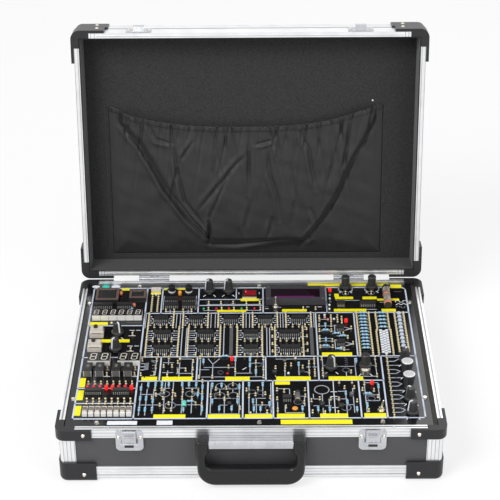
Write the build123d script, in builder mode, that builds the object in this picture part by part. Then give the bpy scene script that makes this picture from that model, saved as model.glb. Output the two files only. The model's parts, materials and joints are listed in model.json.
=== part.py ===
"""Electronics trainer in an aluminium-edged carrying case, lid open.

Millimetres. The origin is the centre of the bounding box at the floor: +X runs
to the right, +Y from the handle to the hinges, +Z up.
"""

from build123d import *

import os
from math import cos, exp, pi, radians, sin

os.makedirs("parts", exist_ok=True)

# ---------------------------------------------------------------- case sizes
WIDTH = 460.0  # over the aluminium, left to right
DEPTH = 340.0  # over the aluminium, front to back
BASE_HEIGHT = 75.2  # underside of the aluminium to the rim
LID_HEIGHT = 50.0  # rim to the outside of the lid
LID_LEAN = 9.0  # degrees past vertical of the open lid

PANEL = 4.0  # laminated wall board
SKIN = 1.2  # wall of the aluminium extrusions
SLOT_FIT = 0.05  # play of a panel in its slot, each side
RIM_GAP = 0.3  # daylight between the closed rims
BASE_FLANGE = 12.6  # outer flange of the base's rim extrusion
LID_FLANGE = 24.6  # outer flange of the lid's rim extrusion
RIM_INNER = 10.0  # inner flange of both rim extrusions
GROOVE_WIDE = 2.0
GROOVE_DEEP = 1.2
TONGUE_FIT = 0.3  # play between tongue and groove, each side
EDGE_FLANGE = 19.5  # outer flange of the base's edge and corner extrusions
LID_EDGE_FLANGE = 24.8  # side flange of the lid's edge extrusion
EDGE_INNER = 14.0  # reach of the inner flanges that hold the panels
EDGE_ROUND = 5.0  # outer radius of the edge extrusions
RIB_PITCH = 4.0  # spacing of the fine grooves on an edge extrusion
RIB_WIDE = 0.8
RIB_DEEP = 0.4

# ------------------------------------------------------------ plastic corners
RIM_CORNER_PROUD = 4.0
RIM_CORNER_ARM = 40.0  # arm along the outside
RIM_CORNER_CAP = 20.0  # arm along the rim
RIM_CORNER_ROUND = 12.0
BASE_CORNER_TALL = 14.0  # height of the arms
BALL_PROUD = 2.3
BALL_ARM = 43.0
BALL_ROUND = 10.0
BALL_EDGE_ROUND = 6.0
BASE_BALL_TALL = 26.0
RIVET_HEAD = 5.0  # diameter
RIVET_HIGH = 1.3

# ------------------------------------------------------------------- hinges
HINGE_OUT = 4.8  # pin axis behind the rear face
HINGE_X = 134.0
HINGE_WIDE = 42.0
HINGE_LEAF = 1.5
HINGE_TALL = 20.0
PIN_RADIUS = 1.5
PIN_FIT = 0.05  # radial running clearance of every pin and shaft
BARREL_RADIUS = 3.0
SIDE_PLAY = 0.3  # end play between turning pieces

# ------------------------------------------------------------------- latches
LATCH_X = 145.0
LATCH_WIDE = 33.0
LATCH_TALL = 30.0
LATCH_PLATE = 1.5
LATCH_DROP = 0.6  # top of the plate below the rim
LEVER_WIDE = 16.5
LEVER_TALL = 20.0  # pivot to the tip
LEVER_PLATE = 1.6
LEVER_OUT = 4.2  # pivot axis in front of the plate
LEVER_ROLL = 2.2  # radius of the rolled tip
EAR_THICK = 1.6
KEEPER_TALL = 22.0
KEEPER_HOOK = 14.0  # width of the hooked lip
KEEPER_OUT = 7.5  # how far the lip stands off the lid

# -------------------------------------------------------------------- handle
HANDLE_WIDE = 132.0
HANDLE_SHOULDER = 15.8  # width of an arm at its pivot
HANDLE_ARM = 10.5  # width of an arm below the shoulder
HANDLE_TOP = 8.0  # arm above the pivot axis
HANDLE_STEP = 8.0  # shoulder below the pivot axis
HANDLE_REACH = 45.0  # pivot axis to the middle of the grip
HANDLE_THICK = 16.0
HANDLE_EDGE = 4.6  # rounding of the long edges
HANDLE_OUTER_ROUND = 22.0
HANDLE_INNER_ROUND = 9.0
HANDLE_TAPER = 3.0  # the handle narrows this much on each side
GRIP_TALL = 24.0
HANDLE_OUT = 10.0  # pivot axis in front of the case
HANDLE_AXIS_DROP = 15.5  # pivot axis below the rim
HANDLE_PIN = 2.5  # radius
PIN_COVER = 4.0  # plastic over the ends of the pin
BRACKET_TALL = 21.0
BRACKET_PLATE = 1.5
BRACKET_LIP = 4.2  # radius of the hood round the pin
BRACKET_CHEEK = 5.0  # solid ends that hold the pin
BRACKET_NOTCH = (30.0, 18.0, 4.0)  # half widths and height of the raised lower edge

# --------------------------------------------------------------------- board
BOARD_PLAY = 6.0  # the board is this much narrower than the rim
BOARD_FIT = 0.5  # daylight at its left, front and back edges
BOARD_THICK = 2.0
BOARD_SINK = 3.0  # top of the board below the rim
RAIL = 15.0  # batten under the board's edge
SCREW_HEAD = 6.0
SCREW_SHANK = 2.9
SCREW_LONG = 12.0
SCREW_EDGE = 5.0  # screws in from the back and side edges
FRONT_SCREW_EDGE = 9.5  # and from the front edge

# ------------------------------------------------------------------ controls
POT_SHAFT = 3.0  # radius
BUSH_RADIUS = 4.0
BUSH_HIGH = 2.6
KNOB_LIFT = 3.0  # underside of a knob above the board
RAISED_LIFT = 8.0  # the same for the knob on a domed bush
DOME_RADIUS = 7.0
KNOB_HIGH = 16.5
KNOB_SKIRT = 8.0  # radius of the skirt
KNOB_SKIRT_HIGH = 2.0
KNOB_WAIST = 6.2  # radius just above the skirt
KNOB_TOP = 4.7  # radius at the top
KNOB_TOP_ROUND = 0.8
KNOB_BORE = 9.0  # depth of the shaft's hole
TALL_RADIUS = 5.6
CAP_KNOB_TOP = 7.8
POT_COUNT = 5
POT_PITCH = 28.0

SLIDE_COUNT = 8
SLIDE_PITCH = 7.62
SLIDE_BODY = (6.4, 15.0, 5.0)
SLIDE_SLOT = 10.0  # length of the slot in the frame
SLIDE_FLOOR = 1.4
SLIDE_KNOB = (4.6, 4.6)
SLIDE_KNOB_HIGH = 9.5  # above the board
SLIDE_TRAVEL = 5.0

TOGGLE_LEAN = 13.0  # degrees, each way
TOGGLE_LONG = 11.5
TOGGLE_RADIUS = 1.2
TOGGLE_PIVOT = 1.35  # radius and half length of the cross pivot
TOGGLE_SEAT = 2.1  # radius of the hole it sits in
TOGGLE_BUSH = 3.2
TOGGLE_BUSH_HIGH = 4.6
TOGGLE_NUT = 8.0  # across flats
TOGGLE_CLEAR = 6.0  # behind its nut to the display

ROCKER_BODY = (19.2, 14.0, 5.0)
ROCKER_KEY = (15.6, 11.0)
ROCKER_TILT = 9.0
ROCKER_LIFT = 3.0  # pivot above the board
ROCKER_WING = 4.2  # ends of the key above the pivot
ROCKER_DIP = 2.8  # middle of the key above the pivot
ROCKER_ROOM = 0.5  # daylight at each end of the key
ROCKER_FLOOR = 0.6
ROCKER_AXLE = 1.2  # radius of the stubs it turns on
ROCKER_STUB = 0.9  # their length

BUTTON_BODY = (18.0, 15.0, 6.0)
BUTTON_TOWER = (16.0, 8.0, 10.0)
BUTTON_CAP = (-1.5, 3.0)  # plunger's place on its body
BUTTON_PLUNGER = 2.6  # radius
BUTTON_FOOT = 4.0  # plunger inside its tower
BUTTON_OUT = 3.2  # plunger above its tower
BUTTON_PRESS = 2.0

# --------------------------------------------------------- parts on the board
DISPLAY = (80.0, 36.0, 8.5)
DISPLAY_WINDOW = (66.0, 22.0)
DISPLAY_SINK = 1.2  # glass below the bezel
DIGIT_COUNT = 6
DIGIT_PITCH = 11.0
DIGIT_BODY = (10.6, 16.0, 8.0)
BIG_DIGIT_PITCH = 14.2
BIG_DIGIT_BODY = (13.8, 19.0, 8.0)
CHIP_PITCH = 2.54
CHIP_WIDE = 6.4
CHIP_HIGH = 4.6
CHIP_SOCKET = (8.8, 3.2)  # width and height
CHIP_END = 0.3  # socket past the chip at each end
LARGE_SOCKET = (31.0, 30.0)
SMALL_SOCKET = (23.0, 21.0)
SOCKET_HIGH = 7.0
SOCKET_FRAME = 4.0
SOCKET_SINK = 1.5
THUMB_BODY = (10.5, 19.0, 9.0)
LED_RADIUS = 2.2
LED_HIGH = 6.0
CAN_RADIUS = 4.5
CAN_HIGH = 9.0
LAMP_TUBE = (5.0, 46.0)  # radius and length
LYING_CAPACITOR = (2.6, 12.0)
LYING_TRIMMER = (3.2, 22.0)

# ------------------------------------------------------------ mains and power
INLET_ALONG = 0.0
INLET_DROP = 36.0
INLET_WIDE = 27.0
INLET_TALL = 20.0
INLET_FLANGE = (50.0, 24.0, 2.5)
INLET_ROUND = 3.0
INLET_BODY = 24.0  # depth behind the wall
INLET_MOUTH = (24.0, 16.5)
INLET_MOUTH_DEEP = 17.0
INLET_PIN = (4.0, 2.0, 15.0)
INLET_PIN_PITCH = 7.0
INLET_PIN_RISE = 2.0
SUPPLY = (110.0, 75.0, 38.0)
SUPPLY_SHEET = 1.5
CORE = (57.0, 28.0, 40.0)
CORE_LEG = 12.0
COIL_PROUD = 11.0
SUPPLY_CAN = (8.0, 32.0)  # radius and height
SUPPLY_CAN_PITCH = 20.0

# ---------------------------------------------------------------- lining, lid
FELT = 1.5
FELT_FIT = 0.1
POCKET_LEFT = -192.0
POCKET_RIGHT = 178.0
POCKET_LOW = -152.0
POCKET_HIGH = 62.0  # top edge at its sewn ends
POCKET_SAG = 27.0  # how far the elastic hangs in the middle
POCKET_CLOTH = 1.2
POCKET_SEAT = 0.7  # soft pieces stay this far off their seats
POCKET_HEM = 4.0
POCKET_FLAT = 2.0  # height of the slack at both sides of the belly
POCKET_BULGE = 14.0  # height of the belly
POCKET_EASE = 20.0  # slope from the hem
POCKET_RISE = 34.0  # slope into the belly
POCKET_GATHERS = 13  # folds below the elastic
POCKET_GATHER_DEEP = 2.2
POCKET_COLUMNS = 60
POCKET_ROWS = 18
BELLY_LEFT = ((-186.0, 52.0), (-62.0, -130.0))
BELLY_RIGHT = ((174.0, 50.0), (66.0, -136.0))

# ------------------------------------------------------------- derived places
FOOT = BALL_PROUD  # the ball corners carry the case
RIM_Z = FOOT + BASE_HEIGHT
SLOT = SKIN + PANEL + 2 * SLOT_FIT
RIM_WIDE = SLOT + SKIN
WEB = GROOVE_DEEP + SKIN  # top web of the rim extrusion under its groove
LEAN = radians(LID_LEAN)
HANDLE_FRONT = HANDLE_OUT + HANDLE_THICK / 2
BRACKET_WIDE = HANDLE_WIDE - 2 * (HANDLE_SHOULDER + SIDE_PLAY)
BOARD_WIDE = WIDTH - 2 * RIM_WIDE - BOARD_PLAY
BOARD_DEEP = DEPTH - 2 * RIM_WIDE - 2 * BOARD_FIT
BOARD_X = BOARD_FIT - BOARD_PLAY / 2

# Furthest back: the rounded top edge of the ball corners on the open lid.
LID_BACK = (
    HINGE_OUT
    + (DEPTH + HINGE_OUT + BALL_PROUD - BALL_EDGE_ROUND) * sin(LEAN)
    + (LID_HEIGHT + RIM_GAP / 2 + BALL_PROUD - BALL_EDGE_ROUND) * cos(LEAN)
    + BALL_EDGE_ROUND
)
FRONT_Y = -(DEPTH + LID_BACK - HANDLE_FRONT) / 2
REAR_Y = FRONT_Y + DEPTH
MIDDLE_Y = FRONT_Y + DEPTH / 2
HINGE_Y = REAR_Y + HINGE_OUT
HINGE_Z = RIM_Z + RIM_GAP / 2
UP_LID = Vector(0, sin(LEAN), cos(LEAN))
OUT_LID = Vector(0, cos(LEAN), -sin(LEAN))
HINGE_AXIS = Vector(0, HINGE_Y, HINGE_Z)

# Both halves are trays, each drawn in its own frame: the origin is the middle
# of the rim, x to the right, z out of the tray's mouth.
BASE = Plane(origin=(0, MIDDLE_Y, RIM_Z))
LID = Plane(
    origin=HINGE_AXIS + UP_LID * (HINGE_OUT + DEPTH / 2) + OUT_LID * (RIM_GAP / 2),
    x_dir=(1, 0, 0),
    z_dir=-OUT_LID,
)
BOARD_Z = RIM_Z - BOARD_SINK
BOARD = Plane(origin=(BOARD_X, MIDDLE_Y, BOARD_Z))


# ------------------------------------------------------- places on the board
def spot(x, y):
    """A place from the middle of the board, which spreads as the board grows."""
    return x * BOARD_WIDE / 441, y * BOARD_DEEP / 326


CONE = (KNOB_SKIRT, KNOB_WAIST, KNOB_TOP)
TALL = (KNOB_SKIRT, TALL_RADIUS, TALL_RADIUS)
CAPPED = (KNOB_TOP + 1, KNOB_WAIST, CAP_KNOB_TOP)
KNOBS = {
    "knob_left_upper": (spot(-172.0, 40.0), CONE, KNOB_LIFT),
    "knob_left_lower": (spot(-172.0, 3.0), CONE, KNOB_LIFT),
    "knob_top_left": (spot(-54.5, 144.0), CONE, KNOB_LIFT),
    "knob_top_right": (spot(-28.5, 144.0), CONE, KNOB_LIFT),
    "knob_signal_left": (spot(131.0, 152.0), TALL, KNOB_LIFT),
    "knob_signal_right": (spot(167.0, 152.0), TALL, KNOB_LIFT),
    "knob_amplifier": (spot(103.5, -41.0), CONE, KNOB_LIFT),
    "knob_sensor": (spot(146.0, -45.0), TALL, RAISED_LIFT),
}
for number in range(POT_COUNT):
    pot_at = (spot(197.5, 0)[0], spot(0, -25.0)[1] - number * POT_PITCH)
    pot_shape = CAPPED if number in (1, 2) else CONE
    KNOBS[f"pot_knob_{number + 1}"] = (pot_at, pot_shape, KNOB_LIFT)

DISPLAY_AT = spot(62.0, 128.0)
TOGGLES = {
    "toggle_display": (
        (spot(35.0, 0)[0], DISPLAY_AT[1] - DISPLAY[1] / 2 - TOGGLE_CLEAR),
        (1, 0),
    ),
    "toggle_speaker": (spot(160.0, -131.0), (0, 1)),
}
ROCKER_AT = spot(0.0, 133.0)
SLIDE_FIRST = spot(-198.3, -133.0)
SLIDE_SPOTS = [(SLIDE_FIRST[0] + number * SLIDE_PITCH, SLIDE_FIRST[1]) for number in range(SLIDE_COUNT)]
BUTTON_SPOTS = {"push_button_upper": spot(-199.0, 39.0), "push_button_lower": spot(-199.0, 6.5)}
DIGITS_AT = spot(-175.4, 81.5)
PAIR_SPOTS = (spot(-190.5, -23.1), spot(-152.5, -23.1))
CHIP_SPOTS = {
    4: (spot(122.8, 107.4), spot(46.7, -108.5), spot(118.7, 48.7), spot(118.1, 13.7)),
    7: (
        *[spot(x, 71.7) for x in (-117.0, -71.0, -24.6, 20.7, 65.1)],
        spot(2.2, 36.8),
        spot(2.3, 1.7),
        spot(-105.2, 119.7),
        spot(-82.1, 119.7),
        spot(-104.5, 105.8),
        spot(-81.5, 105.8),
    ),
    8: (
        *[spot(x, 36.8) for x in (-113.1, -57.1)],
        *[spot(x, 1.7) for x in (-112.3, -56.2)],
        *[spot(x, -92.0) for x in (-191.8, -157.7)],
        spot(-167.1, 105.8),
        spot(158.9, 107.4),
    ),
    10: (spot(52.5, 36.8), spot(52.8, 1.7), spot(-196.6, 105.8)),
}
SOCKET_SPOTS = ((spot(-192.3, 129.0), LARGE_SOCKET), (spot(-151.0, 129.0), SMALL_SOCKET))
THUMB_SPOTS = [spot(x, -47.0) for x in (-202.5, -187.5, -167.0, -152.0)]
CAN_SPOTS = (spot(-106.0, 146.0), spot(-83.0, 146.0))
LYING_PARTS = (
    (spot(185.5, 124.0), LAMP_TUBE),
    (spot(-79.0, -120.0), LYING_CAPACITOR),
    (spot(59.5, -106.0), LYING_TRIMMER),
)
LED_ROW = spot(-199.7, -83.5)
LED_ROW_PITCH = 7.75
LED_SPOTS = [(LED_ROW[0] + number * LED_ROW_PITCH, LED_ROW[1]) for number in range(8)]
LED_SPOTS += [spot(109.5, 143.0), spot(127.5, 66.0), spot(-21.8, -21.9), spot(152.5, -76.0)]

BACK_SCREW_Y = BOARD_DEEP / 2 - SCREW_EDGE
FRONT_SCREW_Y = FRONT_SCREW_EDGE - BOARD_DEEP / 2
SIDE_SCREW_X = BOARD_WIDE / 2 - SCREW_EDGE
SCREW_SPOTS = [
    *[(spot(x, 0)[0], BACK_SCREW_Y) for x in (-150.5, 13.0)],
    *[(spot(x, 0)[0], FRONT_SCREW_Y) for x in (-182.5, 12.5, 160.5)],
    *[(side * SIDE_SCREW_X, spot(0, y)[1]) for side in (-1, 1) for y in (114.5, -105.0)],
]
SUPPLY_AT = spot(-90.0, 60.0)
SUPPLY_FLOOR = FOOT + SKIN + SLOT_FIT + PANEL - BOARD_Z


def save(builder, name):
    """Label a finished piece and write it."""
    builder.part.label = name
    export_step(builder.part, f"parts/{name}.step")


def local(frame, origin, x_dir=(1, 0, 0), z_dir=(0, 0, 1)):
    """A plane given in another plane's own axes."""
    middle = frame.from_local_coords(Vector(0, 0, 0))
    turned = [frame.from_local_coords(Vector(*way)) - middle for way in (x_dir, z_dir)]
    return Plane(frame.from_local_coords(Vector(*origin)), x_dir=turned[0], z_dir=turned[1])


def side_plane(tray, turn, drop=0.0, along=0.0):
    """Square to one side of a tray: x runs inward from its outer face, y to the rim."""
    angle = radians(turn)
    inward = (-sin(angle), cos(angle), 0)
    length = (cos(angle), sin(angle), 0)
    reach = DEPTH / 2 if turn % 180 == 0 else WIDTH / 2
    origin = [along * length[i] - reach * inward[i] for i in range(2)] + [-drop]
    return local(tray, origin, x_dir=inward, z_dir=length)


def side_span(turn):
    """Outside length of the side that faces a given way."""
    return WIDTH if turn % 180 == 0 else DEPTH


SIDES = (0, 90, 180, 270)  # front, right, rear and left


# ------------------------------------------------------------------ sections
def rim_section(flange, tongue):
    """Channel over the panel's edge, with a groove or a tongue along its top."""
    middle = RIM_WIDE / 2
    half = GROOVE_WIDE / 2 - (TONGUE_FIT if tongue else 0)
    step = GROOVE_DEEP - TONGUE_FIT if tongue else -GROOVE_DEEP
    with BuildSketch() as section:
        with BuildLine():
            Polyline(
                (0, 0),
                (middle - half, 0),
                (middle - half, step),
                (middle + half, step),
                (middle + half, 0),
                (RIM_WIDE, 0),
                (RIM_WIDE, -RIM_INNER),
                (SLOT, -RIM_INNER),
                (SLOT, -WEB),
                (SKIN, -WEB),
                (SKIN, -flange),
                (0, -flange),
                close=True,
            )
        make_face()
    return section.sketch


def edge_section(side_flange):
    """Edge extrusion: a rounded outside corner with a slot for each panel."""
    with BuildSketch() as section:
        with BuildLine():
            Polyline(
                (EDGE_ROUND, 0),
                (EDGE_FLANGE, 0),
                (EDGE_FLANGE, SKIN),
                (RIM_WIDE, SKIN),
                (RIM_WIDE, SLOT),
                (EDGE_INNER, SLOT),
                (EDGE_INNER, RIM_WIDE),
                (RIM_WIDE, RIM_WIDE),
                (RIM_WIDE, EDGE_INNER),
                (SLOT, EDGE_INNER),
                (SLOT, RIM_WIDE),
                (SKIN, RIM_WIDE),
                (SKIN, side_flange),
                (0, side_flange),
                (0, EDGE_ROUND),
            )
            RadiusArc((0, EDGE_ROUND), (EDGE_ROUND, 0), -EDGE_ROUND)
        make_face()
        for rib in range(int((EDGE_FLANGE - EDGE_ROUND) / RIB_PITCH)):
            across = EDGE_ROUND + (rib + 0.5) * RIB_PITCH
            with Locations((across, RIB_DEEP / 2)):
                Rectangle(RIB_WIDE, RIB_DEEP, mode=Mode.SUBTRACT)
            with Locations((RIB_DEEP / 2, across)):
                Rectangle(RIB_DEEP, RIB_WIDE, mode=Mode.SUBTRACT)
    return section.sketch


# ------------------------------------------------------- aluminium and panels
def closing_frame(tray, flange, tongue):
    """Four lengths of rim extrusion, which stop at the plastic corners."""
    with BuildPart() as frame:
        for turn in SIDES:
            with BuildSketch(side_plane(tray, turn)):
                add(rim_section(flange, tongue))
            extrude(amount=side_span(turn) / 2 - RIM_CORNER_CAP, both=True)
    return frame


def edge_profiles(tray, height, side_flange):
    """Four lengths of edge extrusion round the tray's floor."""
    with BuildPart() as edges:
        for turn in SIDES:
            with BuildSketch(side_plane(tray, turn, drop=height)):
                add(edge_section(side_flange))
            extrude(amount=side_span(turn) / 2 - EDGE_FLANGE - SIDE_PLAY, both=True)
    return edges


def corner_posts(edges, tray, low, high):
    """The same extrusion stood on end in each upright corner."""
    with BuildPart() as posts:
        add(edges.part)
        for x_side in (-1, 1):
            for y_side in (-1, 1):
                ways = [(-x_side, 0, 0), (0, -y_side, 0)]
                first = ways[0] if x_side == y_side else ways[1]
                corner = (x_side * WIDTH / 2, y_side * DEPTH / 2, low)
                with BuildSketch(local(tray, corner, x_dir=first)):
                    add(edge_section(EDGE_FLANGE))
                extrude(amount=high - low)
    return posts


def wall_panels(tray, height):
    """Four wall boards that stand between the edge and the rim extrusions."""
    with BuildPart() as walls:
        for turn in SIDES:
            inset = SKIN + SLOT_FIT + PANEL / 2
            low = RIM_WIDE + SLOT_FIT
            high = height - WEB - SLOT_FIT
            with BuildSketch(side_plane(tray, turn, drop=height)):
                with Locations((inset, (low + high) / 2)):
                    Rectangle(PANEL, high - low)
            extrude(amount=side_span(turn) / 2 - RIM_WIDE - SLOT_FIT, both=True)
    return walls


def floor_panel(tray, height):
    """The large board that closes a tray."""
    edge = 2 * (RIM_WIDE + SLOT_FIT)
    with BuildPart() as floor:
        with BuildSketch(local(tray, (0, 0, -height + SKIN + SLOT_FIT))):
            Rectangle(WIDTH - edge, DEPTH - edge)
        extrude(amount=PANEL)
    return floor


# ------------------------------------------------------------ plastic corners
def middle_planes(tray):
    """The two upright planes through the middle of a tray."""
    across = local(tray, (0, 0, 0), x_dir=(0, 1, 0), z_dir=(1, 0, 0))
    along = local(tray, (0, 0, 0), x_dir=(1, 0, 0), z_dir=(0, 1, 0))
    return across, along


def corner_angle(tray, z, arm, proud, inner, radius=0.0):
    """Plan of an angle round the front left corner, from proud of it to inside it."""
    with BuildSketch(local(tray, (-WIDTH / 2, -DEPTH / 2, z))) as plan:
        with Locations((-proud, -proud)):
            Rectangle(arm + proud, arm + proud, align=(Align.MIN, Align.MIN))
        if radius:
            fillet(plan.vertices().group_by(Axis.X)[0].sort_by(Axis.Y)[0], radius)
        with Locations((inner, inner)):
            Rectangle(arm, arm, align=(Align.MIN, Align.MIN), mode=Mode.SUBTRACT)
    return plan.sketch


def rim_corners(tray, flange, tall):
    """Moulded corners that join the rim extrusions and lap over their flanges."""
    proud = RIM_CORNER_PROUD
    with BuildPart() as corners:
        extrude(corner_angle(tray, -tall, RIM_CORNER_ARM, proud, 0, RIM_CORNER_ROUND), amount=tall)
        extrude(corner_angle(tray, -flange, RIM_CORNER_CAP, 0, SKIN), amount=flange)
        extrude(corner_angle(tray, -WEB, RIM_CORNER_CAP, 0, RIM_WIDE), amount=WEB)
        inner = corner_angle(tray, -RIM_INNER, RIM_CORNER_CAP, 0, RIM_WIDE)
        outer = corner_angle(tray, -RIM_INNER, RIM_CORNER_CAP, 0, SLOT)
        extrude(inner - outer, amount=RIM_INNER)
        for plane in middle_planes(tray):
            mirror(about=plane)
    return corners


def rounded_corner(arm, tall, upright_round, edge_round):
    """A block at the origin with its near upright edge and near low edges rounded."""
    with BuildPart() as block:
        Box(arm, arm, tall, align=(Align.MIN, Align.MIN, Align.MIN))
        upright = block.edges().filter_by(Axis.Z).sort_by_distance((0, 0, 0))[0]
        fillet(upright, upright_round)
        low = block.faces().sort_by(Axis.Z)[0].edges()
        near = [edge for edge in low if max(edge.center().X, edge.center().Y) < 0.9 * arm]
        fillet(near, edge_round)
    return block.part


def ball_corners(tray, height, tall):
    """Rounded caps over the three edges that meet at each floor corner."""
    outside = rounded_corner(BALL_ARM + BALL_PROUD, tall + BALL_PROUD, BALL_ROUND, BALL_EDGE_ROUND)
    room = EDGE_ROUND - SIDE_PLAY
    inside = rounded_corner(2 * BALL_ARM, 2 * tall, room, room)
    start = (-WIDTH / 2, -DEPTH / 2, -height)
    with BuildPart() as cap:
        add(outside.moved(Location((-BALL_PROUD, -BALL_PROUD, -BALL_PROUD))))
        add(inside, mode=Mode.SUBTRACT)
        with Locations((EDGE_FLANGE, EDGE_FLANGE, -2 * BALL_PROUD)):
            Box(BALL_ARM, BALL_ARM, tall, align=(Align.MIN, Align.MIN, Align.MIN), mode=Mode.SUBTRACT)
    with BuildPart() as corners:
        add(cap.part.moved(local(tray, start).location))
        for plane in middle_planes(tray):
            mirror(about=plane)
    return corners


# -------------------------------------------------------------------- rivets
def rivet_heads(seats):
    """Low domed heads, one on each seat plane."""
    with BuildPart() as heads:
        for seat in seats:
            with BuildSketch(seat):
                Circle(RIVET_HEAD / 2)
            extrude(amount=RIVET_HIGH, taper=35)
    return heads


def outside_seat(tray, turn, along, drop, proud):
    """A plane on a tray's outer side that faces away from it."""
    side = side_plane(tray, turn, drop=drop, along=along)
    return Plane(side.from_local_coords(Vector(-proud, 0, 0)), x_dir=side.z_dir, z_dir=-side.x_dir)


def corner_rivet_seats(tray, rim_drop, ball_drop):
    """One rivet in every arm of the plastic corners."""
    rim_in = RIM_CORNER_ARM - 2 * RIVET_HEAD
    ball_in = BALL_ARM - 3 * RIVET_HEAD
    seats = []
    for turn in SIDES:
        for way in (-1, 1):
            reach = side_span(turn) / 2
            seats.append(outside_seat(tray, turn, way * (reach - rim_in), rim_drop, RIM_CORNER_PROUD))
            seats.append(outside_seat(tray, turn, way * (reach - ball_in), ball_drop, BALL_PROUD))
    return seats


# ------------------------------------------------------------- the two trays
base_closing_frame = closing_frame(BASE, BASE_FLANGE, tongue=False)
save(base_closing_frame, "base_closing_frame")
lid_closing_frame = closing_frame(LID, LID_FLANGE, tongue=True)
save(lid_closing_frame, "lid_closing_frame")

base_edges = corner_posts(
    edge_profiles(BASE, BASE_HEIGHT, EDGE_FLANGE),
    BASE,
    low=-BASE_HEIGHT + EDGE_FLANGE + SIDE_PLAY,
    high=-BASE_CORNER_TALL - SIDE_PLAY,
)
save(base_edges, "base_edge_profiles")
lid_edges = edge_profiles(LID, LID_HEIGHT, LID_EDGE_FLANGE)
save(lid_edges, "lid_edge_profiles")

with BuildPart() as base_walls:
    add(wall_panels(BASE, BASE_HEIGHT).part)
    with BuildSketch(outside_seat(BASE, 180, INLET_ALONG, INLET_DROP, 0)):
        Rectangle(INLET_WIDE + 2 * SLOT_FIT, INLET_TALL + 2 * SLOT_FIT)
    extrude(amount=-RIM_WIDE, mode=Mode.SUBTRACT)
save(base_walls, "base_wall_panels")
base_floor = floor_panel(BASE, BASE_HEIGHT)
save(base_floor, "base_floor_panel")
with BuildPart() as lid_panels:
    add(wall_panels(LID, LID_HEIGHT).part)
    add(floor_panel(LID, LID_HEIGHT).part)
save(lid_panels, "lid_panels")

base_rim_corners = rim_corners(BASE, BASE_FLANGE, BASE_CORNER_TALL)
save(base_rim_corners, "base_rim_corners")
base_foot_corners = ball_corners(BASE, BASE_HEIGHT, BASE_BALL_TALL)
save(base_foot_corners, "base_foot_corners")
with BuildPart() as lid_corners:
    add(rim_corners(LID, LID_FLANGE, LID_FLANGE).part)
    add(ball_corners(LID, LID_HEIGHT, LID_HEIGHT - LID_FLANGE - SIDE_PLAY).part)
save(lid_corners, "lid_corners")


# -------------------------------------------------------------------- hinges
def hinge_leaf():
    """Leaf in section: x off the wall, y towards the other half, pin at the origin."""
    with BuildSketch() as section:
        with Locations((-HINGE_OUT, -HINGE_TALL)):
            Rectangle(HINGE_LEAF, HINGE_TALL - 1, align=(Align.MIN, Align.MIN))
    return section.sketch


def hinge_knuckle():
    """Barrel and the strap that ties it to its leaf, in the same section."""
    with BuildSketch() as section:
        with Locations((-HINGE_OUT, -BARREL_RADIUS)):
            Rectangle(HINGE_OUT, BARREL_RADIUS - 1, align=(Align.MIN, Align.MIN))
        Circle(BARREL_RADIUS)
        Circle(PIN_RADIUS + PIN_FIT, mode=Mode.SUBTRACT)
    return section.sketch


def hinge_halves(x_dir, z_dir, knuckles):
    """Both hinges' leaves for one half of the case, with the knuckles it owns."""
    knuckle = HINGE_WIDE / 3
    with BuildPart() as leaves:
        for x in (-HINGE_X, HINGE_X):
            with BuildSketch(Plane(HINGE_AXIS + Vector(x, 0, 0), x_dir=x_dir, z_dir=z_dir)):
                add(hinge_leaf())
            extrude(amount=HINGE_WIDE / 2, both=True)
            for number in knuckles:
                middle = HINGE_AXIS + Vector(x + number * knuckle, 0, 0)
                with BuildSketch(Plane(middle, x_dir=x_dir, z_dir=z_dir)):
                    add(hinge_knuckle())
                extrude(amount=(knuckle - SIDE_PLAY) / 2, both=True)
    return leaves


hinge_base_leaves = hinge_halves((0, 1, 0), (1, 0, 0), knuckles=(-1, 1))
save(hinge_base_leaves, "hinge_base_leaves")
hinge_lid_leaves = hinge_halves(-UP_LID, (-1, 0, 0), knuckles=(0,))
save(hinge_lid_leaves, "hinge_lid_leaves")


# ------------------------------------------------------------------- latches
def front_plane(x=0.0, out=0.0, drop=0.0):
    """On the base's front face: x to the right, y up, z towards the user."""
    return local(BASE, (x, -DEPTH / 2 - out, -drop), x_dir=(1, 0, 0), z_dir=(0, -1, 0))


def profile_plane(x, drop):
    """Across the base's front face: x towards the user, y up."""
    return local(BASE, (x, -DEPTH / 2, -drop), x_dir=(0, -1, 0), z_dir=(-1, 0, 0))


LEVER_AXIS_OUT = LATCH_PLATE + LEVER_OUT
LEVER_AXIS_DROP = LEVER_TALL - LEVER_ROLL / 2
LEVER_BARREL = LEVER_OUT - 1.5

with BuildPart() as latch_plates:
    for x in (-LATCH_X, LATCH_X):
        with BuildSketch(front_plane(x, drop=LATCH_DROP + LATCH_TALL / 2)) as plate:
            Rectangle(LATCH_WIDE, LATCH_TALL)
            fillet(plate.vertices().group_by(Axis.Z)[0], 6)
        extrude(amount=LATCH_PLATE)
        for side in (-1, 1):
            ear_x = x + side * (LEVER_WIDE / 2 + SIDE_PLAY + EAR_THICK / 2)
            with BuildSketch(profile_plane(ear_x, LEVER_AXIS_DROP)) as ear:
                with Locations((LATCH_PLATE, 0)):
                    Rectangle(LEVER_OUT, 2 * LEVER_BARREL, align=(Align.MIN, Align.CENTER))
                with Locations((LEVER_AXIS_OUT, 0)):
                    Circle(LEVER_BARREL)
                    Circle(PIN_RADIUS + PIN_FIT, mode=Mode.SUBTRACT)
            extrude(amount=EAR_THICK / 2, both=True)
save(latch_plates, "latch_plates")


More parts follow.
